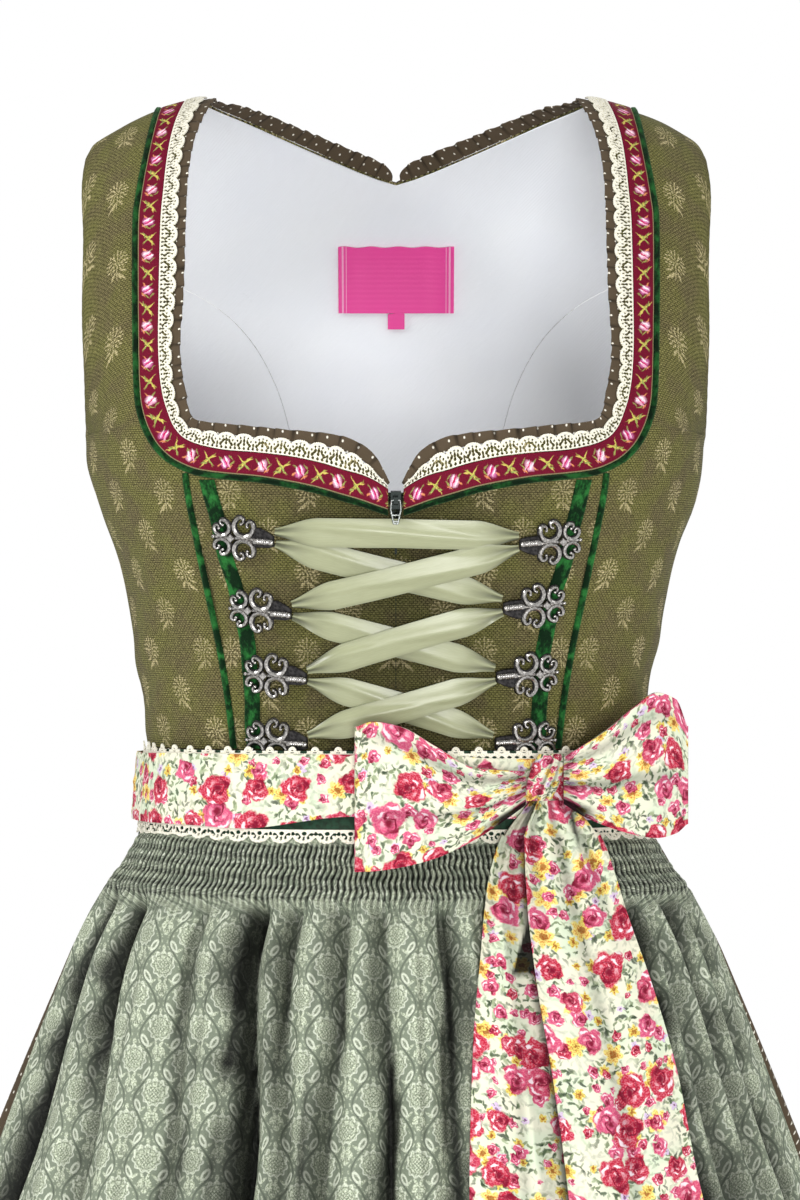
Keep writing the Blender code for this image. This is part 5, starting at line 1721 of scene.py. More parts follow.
HOOK_BRIGHT, HOOK_DARK = join(bright), join(dark)

for name, (side, tip, height) in HOOKS.items():
    angle, level = place(side * (tip + HOOK_LENGTH / 2), height)
    normal, toward = outward(angle, level), np.array((-side, 0, 0))
    along = unit(toward - normal * toward.dot(normal))
    axes = np.stack((along, np.cross(normal, along), normal))
    origin = off_skin(angle, level, HOOK_OUT, TO_FRONT)
    points, faces = join([HOOK_BRIGHT, HOOK_DARK])
    piece = mesh_piece(
        f"Hook_{name}", origin + points @ axes, faces, points[:, :2], BRIGHT_SILVER, sharp=40
    )
    piece.data.materials.append(DARK_SILVER)
    for face in piece.data.polygons[len(HOOK_BRIGHT[1]) :]:
        face.material_index = 1
    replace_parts(piece, f"hook_{name}")
print(f"8 hooks of {count_of(piece)} triangles")

# %% [markdown]
# A satin ribbon runs crosswise between the hooks. It lies flat where it is free and is gathered to
# a third of its width in each hook.

# %% Lacing
LACE_WIDTH, PINCH, PINCH_LENGTH, DROP = 14.5, 4.6, 31, 3.2
LACING = (
    ("l1", "r1", 1, 1, 1),
    ("l1", "r2", -1, 1, 0),
    ("r1", "l2", -1, 1, 1),
    ("l2", "r3", -1, 1, 0),
    ("r2", "l3", -1, 1, 1),
    ("l3", "r4", -1, 1, 0),
    ("r3", "l4", -1, 1, 1),
)


def hook_tip(name, at_hook):
    side, tip, height = HOOKS[name]
    return np.array((side * (tip + 0.8), height + at_hook * DROP))


for number, (start, end, start_place, end_place, on_top) in enumerate(LACING, 1):
    first, last = hook_tip(start, start_place), hook_tip(end, end_place)
    length = float(np.linalg.norm(last - first))
    along = (last - first) / length
    across = np.array((-along[1], along[0]))
    share = np.linspace(0, 1, 91)[:, None]
    half = np.linspace(-0.5, 0.5, 19)[None]
    nearest = np.minimum(share, 1 - share) * length
    width = PINCH * 0.8 + (LACE_WIDTH - PINCH * 0.8) * ease((nearest + 1) / (PINCH_LENGTH - 8)) ** 0.8
    gathered = 1 - ease(nearest / 24)
    sag = -0.9 * np.sin(pi * share) * (number % 3 - 1)
    offset = width * half + sag
    x = first[0] + (last - first)[0] * share + across[0] * offset
    height = first[1] + (last - first)[1] * share + across[1] * offset
    # The folds that the hook pinches run out along the ribbon, one far enough to catch the light.
    pleats = 0.75 * gathered * np.cos(2 * pi * (half * 1.6 + 0.23 * number))
    at_start = ease(share / 0.1) * (1 - ease((share - 0.3) / 0.4))
    at_end = ease((1 - share) / 0.1) * ease((share - 0.35) / 0.35)
    ridge = 0.9 * bump(half - 0.28 + 0.5 * share, 0.13) * at_start
    ridge = ridge + 0.9 * bump(half + 0.25 - 0.5 * (1 - share), 0.13) * at_end
    swell = 0.9 * np.cos(pi * half) * (1 - gathered) * np.sin(pi * share) ** 0.5 + ridge * 0.7
    slack = 0.45 * np.sin(share * 5.5 + number * 1.9 + half * 3) * (1 - gathered)
    base = 2.15 if on_top else 0.65
    out = base + 0.75 + pleats * 0.8 + swell + np.abs(slack) * (1 if on_top else 0.4)
    if number == 1:
        out = out - 0.55 * bump(x, 9)  # pressed in where the zip's pull swings against it
    faces = both_faces(*place(x, height), out, np.maximum(out - 0.7, base - 0.45), TO_FRONT)
    flat = pair(share * length, half * LACE_WIDTH)
    # Painted shade in the gathers by the hooks, a painted shadow of the top ribbon on the middle of a
    # lower one, and darker edges that are partly painted shade and partly a darker selvage.
    under = 0 if on_top else 0.28 * bump(share - 0.5, 0.16)
    at_edges = 0.2 * ease((np.abs(half) - 0.36) / 0.14)
    deep = 0.75 * gathered * (0.5 - 0.5 * pleats / 0.75) + at_edges + under
    piece = cloth(f"Lacing_{number}", *faces, SATIN, flat, hollow=deep)
    declare(piece, length, 15)

# %% [markdown]
# The front closes with a zip. Its teeth show only in the notch, where the cloth's edges part, and
# a wire pull hangs from the slider. The pull swings on the slider's bridge.

# %% Zip
height, x = np.meshgrid(np.linspace(2, 131, 60), np.linspace(-12, 12, 17), indexing="ij")
faces = both_faces(*place(x, height), -1.9, -2.7, TO_FRONT)
piece = cloth("Zip_tape", *faces, ZIP_TAPE, pair(x, height))
declare(piece, 24, 129)

teeth = []
for step in range(20):
    for side in (-1, 1):
        height = 100.5 + step * 1.5 + side * 0.38
        edge = float(CENTRE_EDGE("x", height))
        angle, level = place(side * edge * 0.55, height)
        origin = off_skin(angle, level, -1.55, TO_FRONT)
        reach = 0.55 + edge * 0.25
        block = [(-reach, -0.45), (reach, -0.45), (reach, 0.45), (-reach, 0.45)]
        points, faces = slab(block, 0, 1.3, 0.2)
        points = origin + points[:, [0, 2, 1]] * np.array((1, -1, 1))
        teeth.append((points, [face[::-1] for face in faces]))
points, faces = join(teeth)
piece = mesh_piece("Zip_teeth", points, faces, points[:, [0, 2]], ZIP_METAL)

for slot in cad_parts["zip_slider"].material_slots:
    slot.material = ZIP_METAL

low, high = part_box("zip_pull")
bar_height = float(high[2]) / MM + SHOULDER_HEIGHT - 0.5
bar_y = float(low[1] + high[1]) / 2 / MM


def wire(corners, radius, count=10):
    """A round wire through corners given as (x, height) from the pull's bar."""
    corners = np.array(corners, float)
    at = lengths(corners)
    path = along_line(corners, at, np.linspace(0, at[-1], count))
    return rod(np.column_stack((path, np.zeros(count))), np.full(count, radius))


wires = [
    wire([(-2.1, 0), (2.1, 0)], 0.45, 6),
    wire([(-2.1, 0.1), (-2.6, -4.8), (-1.1, -11.6)], 0.5, 14),
    wire([(2.1, 0.1), (2.6, -4.8), (1.1, -11.6)], 0.5, 14),
    wire([(-2, -7.4), (2, -7.4)], 0.45, 6),
    wire([(-1.3, -11.7), (1.3, -11.7)], 0.55, 6),
    wire([(-1.3, -10.6), (1.3, -10.6)], 0.45, 6),
]
points, faces = join(wires)
points = np.stack((points[:, 0], bar_y - points[:, 2], bar_height + points[:, 1]), -1)
piece = mesh_piece("Pull", points, faces, points[:, [0, 2]], PULL_METAL, body="zip_pull")
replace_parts(piece, "zip_pull")
print(f"{len(teeth)} teeth; the pull hangs from height {bar_height:.1f} mm")

# %% [markdown]
# ## Waistband, lace and sash
#
# The apron hangs from a dark green band. A lace is sewn along each of its edges, and the printed
# sash is wound once round the waist over them, which leaves the laces' scallops in sight.

# %% Belts
FRONT_LIFT = 4.6
BELT_HALF = math.radians(80)
SASH_LOW = Table("""
degrees height
-180 -38
-90 -38.6
-49 -39.2
-34 -40.4
-9 -34
20 -35
90 -39
180 -38
""")
SASH_HIGH = Table("""
degrees height
-180 -4.6
-75 -3.2
-40 -2.6
5 -2.6
25 -5
80 -5
180 -4.6
""")
SASH_OUT = 3.9


def turn_of(angle):
    """How far an angle is from the front, in degrees."""
    return np.abs(np.degrees(np.arctan2(np.sin(angle), np.cos(angle))))


def belt_lift(angle):
    """The belt lies further out across the front, over the hooks."""
    return FRONT_LIFT * ease((78 - turn_of(angle)) / 24)


def tilt(angle):
    """How far the apron's top and the lower lace rise towards the left side."""
    return 3.2 * ease((-np.degrees(angle) - 25) / 50)


def belt_grid(low, high, columns, rows, half=BELT_HALF):
    angle = np.linspace(-half, half, columns)[None]
    return np.broadcast_arrays(angle, np.linspace(low, high, rows)[:, None])


angle, level = belt_grid(-46.6, -0.6, 201, 12)
gather = 0.12 * np.sin(angle * 120) * ease((-level - 30) / 10)
outer, inner = both_faces(angle, level, 1.5 + gather + belt_lift(angle), 0.5 + belt_lift(angle))
piece = cloth("Apron_band", outer, inner, BAND_CLOTH)
declare(piece, lengths(outer[0])[-1], 44, "apron_waistband")

WAIST_PITCH = 12


def lobes(s, y):
    """The waist lace: groups of three round lobes over a row of oblong holes. y runs to 11.2."""
    x = across_repeat(s, WAIST_PITCH)
    keep = 6.2 + 0.2 * np.abs(np.sin(pi * s / 1.5)) - y
    for middle_x, middle_y, radius in ((-2.6, 7.3, 1.6), (0, 9, 2.15), (2.6, 7.3, 1.6)):
        keep = np.maximum(keep, radius - np.hypot(x - middle_x, y - middle_y))
    holes = [hole(across_repeat(s, 4), y, 0, 4.6, 1.45, 0.6), hole(x, y, 0, 8.9, 0.8, 0.85)]
    return np.minimum.reduce([keep, y + 0.4, *holes])


def scallops(s, y):
    """The lower lace: wide scallops, each with a fan of holes. y runs from its sewn edge to 9."""
    y = y + 4.5
    x = across_repeat(s, WAIST_PITCH)
    dome = np.sqrt(np.clip(1 - (2 * np.abs(x) / WAIST_PITCH) ** 2, 0, 1))
    keep = 8.6 + 4.1 * dome + 0.4 * np.abs(np.sin(pi * s / 2.4)) - y
    holes = [
        hole(x, y, 0, 6.4, 1.1, 0.8),
        hole(WAIST_PITCH / 2 - np.abs(x), y, 0, 6.6, 0.7, 0.9),
        *fan_of_holes(x, y, (0.55, 1.1), 5.3, 3.9, 3.9, 0.72, 1.1),
        *fan_of_holes(x, y, (0.48, 0.95), 5.6, 5.1, 5.5, 0.6, 0.5),
    ]
    return np.minimum.reduce([keep, y - 4.1, *(one - 0.2 for one in holes)])


def belt_lace(name, node, start, end, tall, pattern):
    """Lace round the front from the sewn height start to the tips at height end."""
    angles = np.linspace(-BELT_HALF, BELT_HALF, 600)
    at = lengths(off_skin(angles, np.full(600, (start + end) / 2), 3 + belt_lift(angles)))

    def spot_at(s, share):
        angle = np.interp(s, at, angles)
        ruffle = 0.25 * np.sin(s * 0.35) * share
        rise = tilt(angle) if end < start else 0
        return pair(angle, start + (end - start) * share + rise), 3.1 + ruffle + belt_lift(angle), 0

    piece = lace_strip(name, spot_at, at[-1], tall, pattern)
    declare(piece, at[-1], tall, node)


belt_lace("Waist_lace_top", "band_lace_top", -9, 3.4, 11.2, lobes)
belt_lace("Waist_lace_low", "band_lace_bottom", -40.6, -49.9, 9, scallops)

# %% Sash round the waist
angle, share = np.meshgrid(np.linspace(-pi, pi, 384, endpoint=False), np.linspace(0, 1, 21))
low = SASH_LOW("height", np.degrees(angle))
height = low + (SASH_HIGH("height", np.degrees(angle)) - low) * share
x_here = skin(angle, height)[..., 0]
front = np.cos(angle) > 0
# Soft folds: one under the top edge at the left, long slack waves, and creases that run to the
# knot.
from_fold = share - 0.56 + 0.2 * ease((x_here + 110) / 60)
fold = 0.7 * bump(from_fold, 0.05) * ease((-x_here - 60) / 50) * front
to_knot = np.hypot(x_here - 76, (height + 15) * 1.6)
rays = np.sin(np.arctan2(height + 15, x_here - 76) * 9) * bump(to_knot - 30, 30) * front
slack = 0.35 * np.sin(angle * 17 + share * 2.5) + 0.25 * np.sin(angle * 29 - share * 4 + 1)
rolled = 0.5 * (bump(share, 0.05) + bump(share - 1, 0.05))
lift = fold + 0.45 * rays + slack * 0.6 + 0.3 - rolled
outs = (
    SASH_OUT + CLOTH + belt_lift(angle) + lift,
    SASH_OUT + belt_lift(angle) + np.maximum(lift - 0.3, 0) * 0.8,
)
outer, inner = both_faces(angle, height, *outs)
girth = float(lengths(outer[10])[-1])
flat = pair((angle + pi) / (2 * pi) * girth, height + 45)
sash = cloth("Sash", outer, inner, ROSE_PRINT, flat, ring=True)
declare(sash, girth, 36, "sash_wrap")

# %% [markdown]
# ## The skirt
#
# Two straight widths of dotted cotton are gathered into the waist seam. Gathers start as many small
# pleats at the seam and run together into fewer, deeper folds toward the hem.

# %% Skirt
SKIRT_FOLDS, SKIRT_LOW_LEVEL = 34, -700
SKIRT_LEVELS = (-SEAM / 2, -45, -62, -90, -140, -220, -340, -500, SKIRT_LOW_LEVEL)
APRON_EDGE = Table("""
height degrees
-680 69
-330 71
-209 73.5
-125 77.5
-80 79
-45 77
""")
FOLD_DEPTH = Table("""
height ridge cover
-700 14 32
-520 12 31
-330 9 29
-200 6.5 26
-125 5 20
-82 3.5 12
-61 2 3.5
-45 0 0
0 0 0
""")


def skirt_turn(number):
    even = 2 * pi * number / SKIRT_FOLDS
    slow = 0.035 * np.sin(2 * even + 0.7)
    return even + slow + 0.022 * np.sin(5 * even + 2.1) + 0.021 * np.sin(13 * even)


def skirt_half(name, seams, first, shift, middle):
    numbers = np.linspace(first, first + SKIRT_FOLDS / 2, 17 * 12 + 1)
    share = (numbers - numbers[0]) / (numbers[-1] - numbers[0])
    ends = numbers[0], numbers[-1]
    moved = [seam - float(skirt_turn(number)) for seam, number in zip(seams, ends)]
    angle = skirt_turn(numbers) + moved[0] * (1 - share) + moved[1] * share
    level = np.interp(np.linspace(0, 1, 72), np.linspace(0, 1, 9), SKIRT_LEVELS[::-1])
    angle, level = np.meshgrid(angle, level)
    phase = 2 * pi * (numbers - first)[None]
    # Folds wander and sharpen on their way down; small gathers stand between them near the waist.
    drift = 0.35 * np.sin(level / 95 + numbers[None] * 1.3) * ease((-level - 60) / 200)
    edge = ease(np.minimum(numbers - numbers[0], numbers[-1] - numbers)[None] / 0.8)
    wave = np.cos(phase + drift * edge)
    wave = wave - 0.22 * edge * np.cos(2 * phase + 1.2 * np.sin(numbers[None] * 2.3) + level / 140)
    gathers = 0.8 * np.cos(phase * 3 + 0.9 * np.sin(numbers[None] * 1.7)) * edge
    gathers = gathers * ease((-level - 46) / 12) * (1 - ease((-level - 70) / 130))
    cover = ease((APRON_EDGE("degrees", level) - turn_of(angle)) / 6)
    ridge = FOLD_DEPTH("ridge", level)
    uneven = 0.78 + 0.22 * np.sin(numbers[None] * 2.6 + 0.8 + level / 310)
    out = (ridge * wave * uneven + gathers) * (1 - 0.9 * cover) - FOLD_DEPTH("cover", level) * cover
    hem = 0.35 * bump(level + 664, 2) - 0.3 * ease((-level - 664) / 3)
    outer, inner = both_faces(angle, level, out - hem * (level < -600), out - CLOTH, shift)
    flat = along_cloth(outer[::-1], middle)[::-1]
    # Painted shade in the troughs of the folds, fading in below the waist.
    deep = 0.45 * np.clip(-wave / 1.2, 0, 1) ** 1.5 * ease((-level - 40) / 60)
    piece = cloth(name, outer, inner, DOTTED, flat, hollow=deep)
    declare(piece, lengths(outer[0])[-1], 705)


QUARTER = pi / 2
skirt_half("Skirt_front", (-QUARTER, QUARTER), -SKIRT_FOLDS / 4, TO_FRONT, 0)
skirt_half("Skirt_back", (QUARTER, 3 * QUARTER), SKIRT_FOLDS / 4, TO_BACK, 0.5)

# %% [markdown]
# ## The apron
#
# The damask apron is smocked under its band: the cloth is drawn up into fine even ribs and held by
# rows of stitches across them. Below the last row the ribs open out into folds, none like the
# next.

# %% Apron
RIBS, RIB_HEIGHT, APRON_GAP = 112, 1.2, 0.5
RIB_COLUMNS = 5
# Each fold: its degrees high and low, its depth high and low, and the side of it that lies in shade
# (1 left of the trough, -1 right).
APRON_FOLDS = rows_of("""
-70.5 -64 12 14 1
-58 -48 13 7 1
-39 -33 7 8 -1
-26 -20.5 14 16 1
-19 -15 9 7 1
-9 -9.8 8 9 1
-2 -0.5 8 11 1
8.5 7.5 10 9 -1
18.5 19 8 10 1
28 28.5 8 9 -1
38 36 7 8 1
47.5 43 12 15 -1
54.5 51.5 6 9 -1
62 58.5 11 7 -1
71 65 7 9 -1
""")
STITCH_ROWS = (-50.5, -55.7, -60.9, -66.1, -71.3, -76)


def apron_base(angle, level):
    fade = ease((level + 79) / 30)
    on_band = APRON_GAP + CLOTH + belt_lift(angle)
    on_skirt = FOLD_DEPTH("ridge", level) + 0.4 + CLOTH
    return on_band * fade + on_skirt * (1 - fade)


def apron_fold(angles, level):
    """The folds' depth along one row of angles, each a trough with a knee on both sides, and the
    painted shade of each fold on its shaded side.
    """
    lower, growth = ease((-level - 90) / 120), ease((-level - 73) / 11)
    middles = APRON_FOLDS[:, 0] + (APRON_FOLDS[:, 1] - APRON_FOLDS[:, 0]) * lower
    depths = (APRON_FOLDS[:, 2] + (APRON_FOLDS[:, 3] - APRON_FOLDS[:, 2]) * lower) * growth
    edge = float(APRON_EDGE("degrees", level))
    ends = np.concatenate([[-edge], (middles[:-1] + middles[1:]) / 2, [edge]])
    at, fold = [-edge], [0]
    for middle, depth, before, after in zip(middles, depths, ends, ends[1:]):
        at += [middle - min(2.4, 0.55 * (middle - before)), middle]
        at += [middle + min(2.4, 0.55 * (after - middle)), after]
        fold += [-0.35 * depth, -depth, -0.35 * depth, 0]
    found = np.interp(np.degrees(angles), at, fold)
    kernel = np.hanning(7) / np.hanning(7).sum()
    # Painted shade grows over each fold's shaded side into its trough and ends sharply just past it.
    deep = np.zeros(len(angles))
    for middle, depth, side in zip(middles, depths, APRON_FOLDS[:, 4]):
        wobble = 0.45 * math.sin(level / 17 + middle) + 0.3 * math.sin(level / 8 + 2 * middle)
        aside = (np.degrees(angles) - middle - wobble) * side
        wide = (3.2 + 0.26 * depth) * (1 + 0.35 * math.sin(level / 31 + 3 * middle))
        slope = np.where(aside < 0, ease((1 + aside / wide) * 1.2), ease(1.5 - aside / 0.9))
        deep = np.maximum(deep, slope * min(1, depth / 11.5))
    return np.convolve(np.pad(found, 3, mode="edge"), kernel, mode="valid") * 1.3, deep


columns = RIBS * RIB_COLUMNS + 1
steps = ((-46.8, -80, 33), (-83, -126, 15), (-138, -680, 32))  # finer where the smocking is
level = np.concatenate([np.linspace(*step) for step in steps])
# The ribs lie closer across the front than at the sides.
even_share = np.linspace(-1, 1, 401)
front_share = 0.35 * even_share + 0.65 * np.sin(1.4 * even_share) / math.sin(1.4)
share = np.interp(np.linspace(-1, 1, columns), front_share, even_share)
edge = np.radians(APRON_EDGE("degrees", level))
angle = share[None] * edge[:, None]
level = np.repeat(level[:, None], columns, 1)
number = np.linspace(0, RIBS, columns)[None]
sway = 0.2 * np.sin(level * 2 * pi / 10.4 + number * 0.1) + 0.13 * np.sin(level * 0.33 + number * 0.7)
strength = ease((-level - 47.5) / 4) * (1 - 0.45 * ease((-level - 72) / 7))
strength = strength * (1 - ease((-level - 76) / 20))
height_of_rib = 0.8 + 0.2 * np.sin(number * 1.3 + 0.1 * level)
turn = number + sway * ease((-level - 49) / 8)
rib = (0.5 - 0.5 * np.cos(2 * pi * turn)) ** 0.8
held = sum(bump(level - row, 0.9) for row in STITCH_ROWS)
smocking = RIB_HEIGHT * 1.5 * rib * strength * height_of_rib * (1 - 0.38 * held)
folds = [apron_fold(angles, float(at)) for angles, at in zip(angle, level[:, 0])]
fold, fold_shade = np.moveaxis(folds, 1, 0)
growth = ease((-level - 78) / 40)
second = 0.4 * np.sin(number * 2.7 + 1 + 0.7 * np.sin(level * 0.012))
small = 0.55 * np.sin(number * 1.56 + level * 0.004) + second
small = small * growth * (1 - 0.35 * ease((-level - 250) / 300))
out = apron_base(angle, level) + smocking + fold + small - 0.6 * growth
hem = (level < -640) * (0.35 * bump(level + 656, 2) - 0.25 * ease((-level - 656) / 3))
height = level + tilt(angle) * ease((level + 88) / 38)
under = out - CLOTH - 0.5 * smocking * (1 - growth)
outer, inner = both_faces(angle, height, out - hem, under)
across = along_cloth(outer[::-1])[::-1]
wide = float(lengths(outer[-1])[-1])
even = share[None] * wide / 2
# Each rib shows more cloth than it is wide: the rest is drawn into the gap beside it.
drawn_in = 5 * (turn % 1 - 0.5) * strength
flat = pair(0.85 * across[..., 0] + 0.15 * even + drawn_in, across[..., 1])
# Painted shade between the ribs, along the stitch rows, in the folds on their shaded side and in the
# small folds' hollows; the ribs' crests are kept free of it.
rib_gap_shade = np.minimum(1.15 * (1 - rib) ** 0.75, 1) * strength + 0.4 * held * strength
unshaded_crest = rib**3 * strength * (1 - 0.7 * np.clip(held, 0, 1)) * (1 - fold_shade)
fold_shade = 0.97 * fold_shade * ease((-level - 73) / 8) + 0.25 * np.clip(-small, 0, 1) * growth
deep = np.maximum(rib_gap_shade, fold_shade) - unshaded_crest
apron = cloth("Apron", outer, inner, DAMASK_CLOTH, flat, hollow=deep)
declare(apron, wide, 640)

# %% [markdown]
# ## The bow
#
# The sash's ends are tied in a bow beside the middle. Its loops are tubes of cloth, open above and
# below and creased where the knot grips them, and its tails widen downward over the apron.

# %% Loops
BOW_OUT = 13
KNOT = {"x": (66.5, 85), "height": (-25, -1.5), "out": 10.3, "edge": 5.7, "depth": 17.7}
LEFT_LOOP = Table("""
x low high space
-19.5 -60 13 5
-12 -59.5 15.5 9
2 -57.5 13 11
20 -53 3 10
40 -44 -8 8
56 -34 -9.5 5.5
66 -27 -10 3
""")
RIGHT_LOOP = Table("""
x low high space
85.5 -27 -3 3
96 -33.5 3 7
109 -39 11.5 10
122 -43 22 11
134 -45 29.5 10
144 -43 26 6
150 -38.5 12 2.5
""")


def before_skin(x, height, out):
    """Y of the point that lies this far out from the skin, straight in front of x and height."""
    angle, level = place(x, height)
    return skin(angle, level)[..., 1] + out / outward(angle, level)[..., 1]


def bow_loop(name, sizes, back_layer, creases, fold_at_low):
    """Cloth that runs out along the front, round the fold at its far end and back behind."""
    keys = sizes.keys if fold_at_low else sizes.keys[::-1]
    far, near = keys[0], keys[-1]
    count = 42
    x_front = near + (far - near) * np.linspace(0, 1, count) ** 0.9
    turn = np.linspace(0, pi, 11)[1:-1]
    direction = 1 if far > near else -1
    x = np.concatenate([x_front, np.full(9, far), x_front[::-1]])
    layer = np.concatenate([np.ones(count), (np.cos(turn) + 1) / 2, np.zeros(count)])
    swing = np.concatenate([np.zeros(count), np.sin(turn), np.zeros(count)])
    v = np.linspace(0, 1, 37)[:, None]
    low, high = sizes("low", x)[None], sizes("high", x)[None]
    height = low * (1 - v) + high * v
    x, layer, swing = (np.broadcast_to(values, height.shape) for values in (x, layer, swing))
    out = 1 - (np.abs(x - near) / abs(far - near))
    dome = np.sin(pi * (0.08 + 0.84 * v)) ** 0.5
    ridges = sum(
        depth * bump((v - (start + (end - start) * (1 - out))) * (0.55 + 0.45 * (1 - out)), wide)
        * ease(out / 0.15) * ease((1 - out + 0.02) / 0.1) * (0.35 + 0.65 * out) * layer
        for start, end, wide, depth in creases
    )
    space = sizes("space", x) * (0.72 + 0.28 * dome)
    back = back_layer(x, height)
    wrinkle = 0.5 * np.sin(v * 9 + x * 0.12) * layer * (1 - out)
    y = back - CLOTH - layer * space - ridges - wrinkle
    bend = swing * np.minimum(sizes("space", x) * 0.28, 2) * direction
    inner = np.stack((x + bend - CLOTH * direction * swing, y, height), -1)
    depth = np.where(layer > 0.5, -CLOTH, CLOTH) * np.abs(2 * layer - 1)
    outer = np.stack((x + bend, y + depth, height), -1)
    middle = lengths(outer[18])
    flat = pair(middle[None], (v - 0.5) * 74)
    # Painted shade in the creases that sink in, next to the knot, and along the lower edge beside it.
    deep = 0.6 * np.clip(-ridges / 1.2, 0, 1) + 0.4 * ease((out - 0.88) / 0.12) * layer
    deep = np.maximum(deep, layer * ease((out - 0.7) / 0.15) * ease((0.2 - v) / 0.1))
    piece = cloth(name, outer, inner, ROSE_PRINT, flat, hollow=deep)
    declare(piece, middle[-1], 74)


# Each crease of a loop: where it starts at the knot and ends outside, as shares of the loop's
# height, its width and how far it stands out (or, below 0, in).
bow_loop(
    "Bow_loop_l",
    LEFT_LOOP,
    lambda x, height: before_skin(x, height, BOW_OUT),
    rows_of("""
0.2 0.12 0.06 1.6
0.42 0.36 0.05 -1.8
0.6 0.62 0.06 2
0.8 0.9 0.05 -1.4
0.5 0.5 0.12 1
"""),
    True,
)
bow_loop(
    "Bow_loop_r",
    RIGHT_LOOP,
    lambda x, height: -96.5 + 0.43 * (x - 84),
    rows_of("0.25 0.15 0.06 1.6; 0.45 0.42 0.05 -1.6; 0.66 0.6 0.07 1.8; 0.82 0.86 0.05 -1.2"),
    False,
)

# %% Knot
(left, right), (low, high) = KNOT["x"], KNOT["height"]
u, v = np.meshgrid(np.linspace(0, 1, 41), np.linspace(0, 1, 31))
# The knot leans, is narrower at its ends and creased across.
lean = 7 * (v - 0.5)
narrow = 1 - 0.3 * (2 * v - 1) ** 2
x = (left + right) / 2 + (right - left) * (u - 0.5) * narrow + lean
height = low + (high - low) * v
bulge = np.sin(pi * (0.08 + 0.84 * v))
folds = 1.2 * bump(u - 0.24 - 0.2 * v, 0.07) - 1.5 * bump(u - 0.4 - 0.22 * v, 0.05)
folds += 1.1 * bump(u - 0.58 - 0.1 * v, 0.07) - 1.3 * bump(u - 0.76 - 0.1 * v, 0.05)
round_off = np.sin(pi * (0.07 + 0.86 * u)) ** 0.8 * bulge
depth = KNOT["edge"] + (KNOT["depth"] - KNOT["edge"]) * round_off + folds * np.sin(pi * v) ** 0.5
back = before_skin(x, height, KNOT["out"])
waist_in = 0.8 * np.sin(pi * v) * (2 * u - 1)
outer = np.stack((x - waist_in, back - depth, height), -1)
inner = np.stack((x - waist_in, np.maximum(back - depth + CLOTH, back - 4.5), height), -1)
flat = pair(u * 26 + 140, v * 40 + 20)
# Painted shade in the knot's sunken creases and toward both its ends.
deep = 0.5 * np.clip(-folds, 0, 1) + 0.35 * ease((np.abs(2 * u - 1) - 0.75) / 0.25)
piece = cloth("Bow_knot", outer, inner, ROSE_PRINT, flat, hollow=deep)
declare(piece, lengths(outer[15])[-1], lengths(outer[:, 20])[-1])

# %% Tails
LEFT_TAIL = Table("""
height left right out
-540 58 152 2
-400 44 124 2
-300 37 104 2
-218 35 88 2.1
-149 37 80 2.2
-101 41.5 75 2.5
-68 45 71 4.8
-46 51 69 8.4
-26.5 64 72 8.4
""")
RIGHT_TAIL = Table("""
height left right out
-560 118 232 5.2
-400 98 190 5.2
-300 87 164 5.3
-220 80.8 143 5.4
-165 74 133 5.5
-124 67.5 122 5.7
-90 63.4 110.5 6.8
-69 62 104 8
-46 61 95.5 10.2
-26.5 67 82 10.2
""")
TAIL_FOLD = 1.6
for letter, sizes in (("l", LEFT_TAIL), ("r", RIGHT_TAIL)):
    lowest, highest = sizes.keys[0], sizes.keys[-1]
    v, u = np.meshgrid(np.linspace(0, 1, 121), np.linspace(0, 1, 41), indexing="ij")
    height = highest + (lowest - highest) * v**1.25
    left, right = sizes("left", height), sizes("right", height)
    on_apron = FOLD_DEPTH("ridge", height) + 0.4 + CLOTH
    fold = TAIL_FOLD * ease((-height - 60) / 40)
    wave = fold * (1 - np.cos(4 * pi * u + 0.5 * np.sin(height / 60))) / 2
    pleats = 1.3 * np.cos(2 * pi * (u * 3 + 0.15)) * (1 - ease((-height - 40) / 90))
    roll = 0.7 * bump(u, 0.03) + 0.7 * bump(u - 1, 0.03)
    soft = 0.5 * np.sin(height / 37 + u * 4) * ease((-height - 90) / 60) * np.sin(pi * u)
    out = on_apron + sizes("out", height) + wave + np.maximum(pleats, -0.6) + soft + roll
    angle, level = place(left + (right - left) * u, height)
    outer, inner = both_faces(angle, level, out + CLOTH, out)
    flat = along_cloth(outer)
    across = along_cloth(outer)[..., 0] + (400 if letter == "l" else 0)
    flat = pair(across, 700 - flat[..., 1])
    # Painted shade in the pleats' hollows and along a crease down the middle.
    middle_crease_shade = 0.35 * bump(u - 0.5, 0.06) * ease((-height - 30) / 60)
    deep = 0.5 * np.clip(-pleats / 1.3, 0, 1) + middle_crease_shade
    if letter == "l":
        # Painted shadow: the right tail shades the left one, which turns under beside its edge into a
        # dark painted wedge.
        covered = left + (right - left) * u - RIGHT_TAIL("left", height)
        deep = np.maximum(deep, 0.35 * ease((covered + 13) / 1.5) + 0.45 * ease((covered + 4) / 4))
        wedge_shade = ease((covered + 11 * (-90 - height) / 25) / 1) * ease((-height - 88) / 3)
        deep = np.maximum(deep, wedge_shade * ease((height + 118) / 4))
    else:
        # Painted shade along a crease of the right tail, below the knot.
        line = left + (right - left) * u - 83 - 4 * (-30 - height) / 21
        below_knot = ease((-height - 27) / 6)
        deep = np.maximum(deep, 0.95 * bump(line, 1.5) * below_knot * ease((height + 60) / 14))
    piece = cloth(f"Bow_tail_{letter}", outer, inner, ROSE_PRINT, flat, hollow=deep)
    wide = float(np.linalg.norm(outer[-1, -1] - outer[-1, 0]))
    declare(piece, wide, highest - lowest)

# %% [markdown]
# ## Light, floor and camera
#
# The dress stands in soft studio light against white, seen straight from the front.

# %% Studio


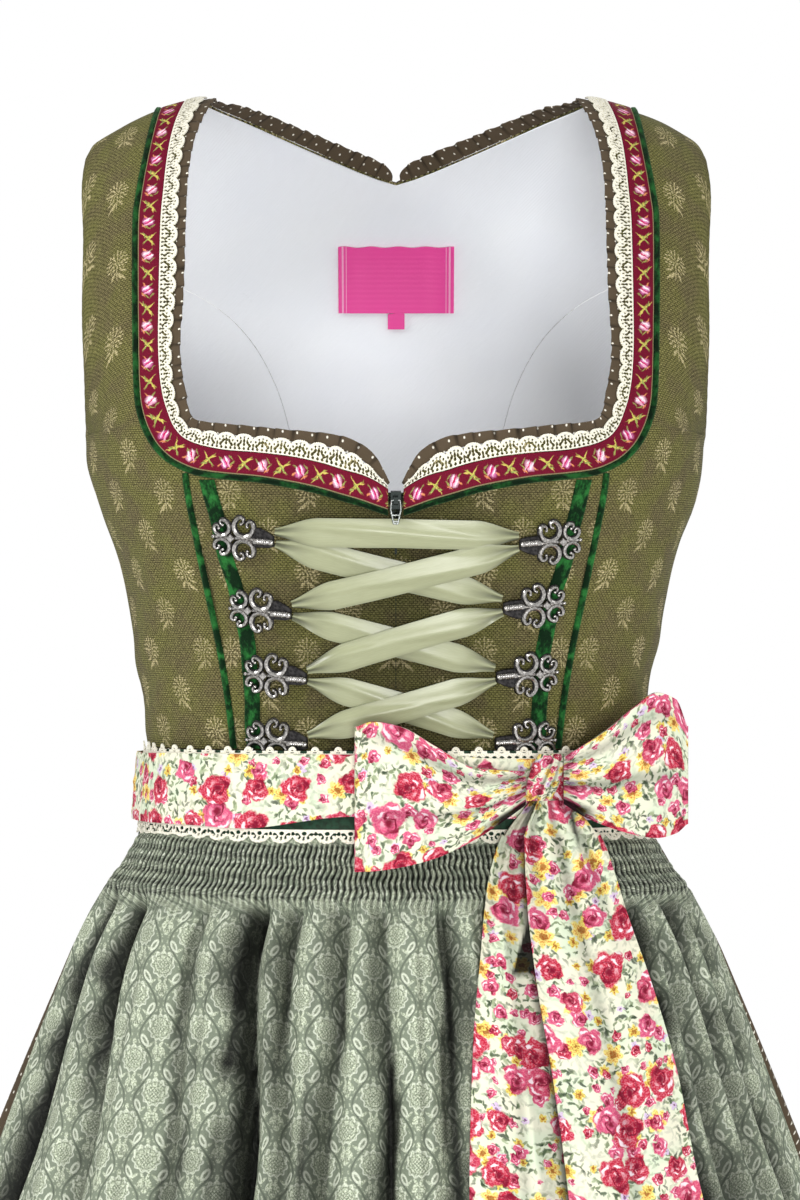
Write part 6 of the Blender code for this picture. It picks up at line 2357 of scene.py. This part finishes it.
def floor():
    size, low = 3.5, float(BOX_OF_SOLIDS[0][2]) - 0.012
    mesh = bpy.data.meshes.new("Floor")
    corners = [(x * size, y * size, low) for x, y in ((-1, -1), (1, -1), (1, 1), (-1, 1))]
    mesh.from_pydata(corners, [], [(0, 1, 2, 3)])
    look = bpy.data.materials.new("White floor")
    look.use_nodes = True
    shader = look.node_tree.nodes["Principled BSDF"]
    plug((0.9, 0.9, 0.9), shader.inputs["Base Color"])
    plug(0.9, shader.inputs["Roughness"])
    mesh.materials.append(look)
    set_down("Floor", mesh)


def soft_light(name, spot, towards, size, power):
    data = bpy.data.lights.new(name, "AREA")
    data.shape, data.size, data.energy = "DISK", size, power
    made = set_down(name, data)
    made.location = spot
    made.rotation_euler = (Vector(spot) - Vector(towards)).to_track_quat("Z", "Y").to_euler()


def studio_world():
    """White to the camera, and a softer white to everything that it lights."""
    world = bpy.data.worlds.new("Studio")
    bpy.context.scene.world = world
    world.use_nodes = True
    tree = world.node_tree
    shader = tree.nodes["Background"]
    seen = add_node(tree, "LightPath")[0]
    plug((1, 1, 1), shader.inputs["Color"])
    plug(seen * (1 - WORLD_LIGHT) + WORLD_LIGHT, shader.inputs["Strength"])


WORLD_LIGHT = 0.5
floor()
studio_world()
soft_light("Key", (-2.6, -1.5, 1.2), (0, 0, -0.3), 0.7, 48)
soft_light("Fill", (2.4, -1.6, 0.5), (0, 0, -0.4), 1.2, 14)
soft_light("Top", (0.1, -1, 2), (0, 0.05, -0.15), 0.7, 5)
soft_light("Front", (0.3, -2.7, -0.6), (0, 0, 0), 0.8, 33)
soft_light("Back", (0.6, 2.6, 1.2), (0, 0, -0.4), 2, 24)

camera = bpy.data.cameras.new("Camera")
camera.sensor_fit, camera.sensor_height, camera.lens, camera.clip_end = "VERTICAL", 36, 147.2, 50
eye = set_down("Camera", camera)
eye.location = (0.0021, -2.6, -0.255)
eye.rotation_euler = (pi / 2, 0, 0)
bpy.context.scene.camera = eye
bpy.context.scene.view_settings.view_transform = "Standard"

# %% [markdown]
# ## The last count

# %% Finish
counts = [count_of(piece) for piece in PIECES]
print(f"{len(PIECES)} pieces, {sum(counts)} triangles, biggest {max(counts)}")
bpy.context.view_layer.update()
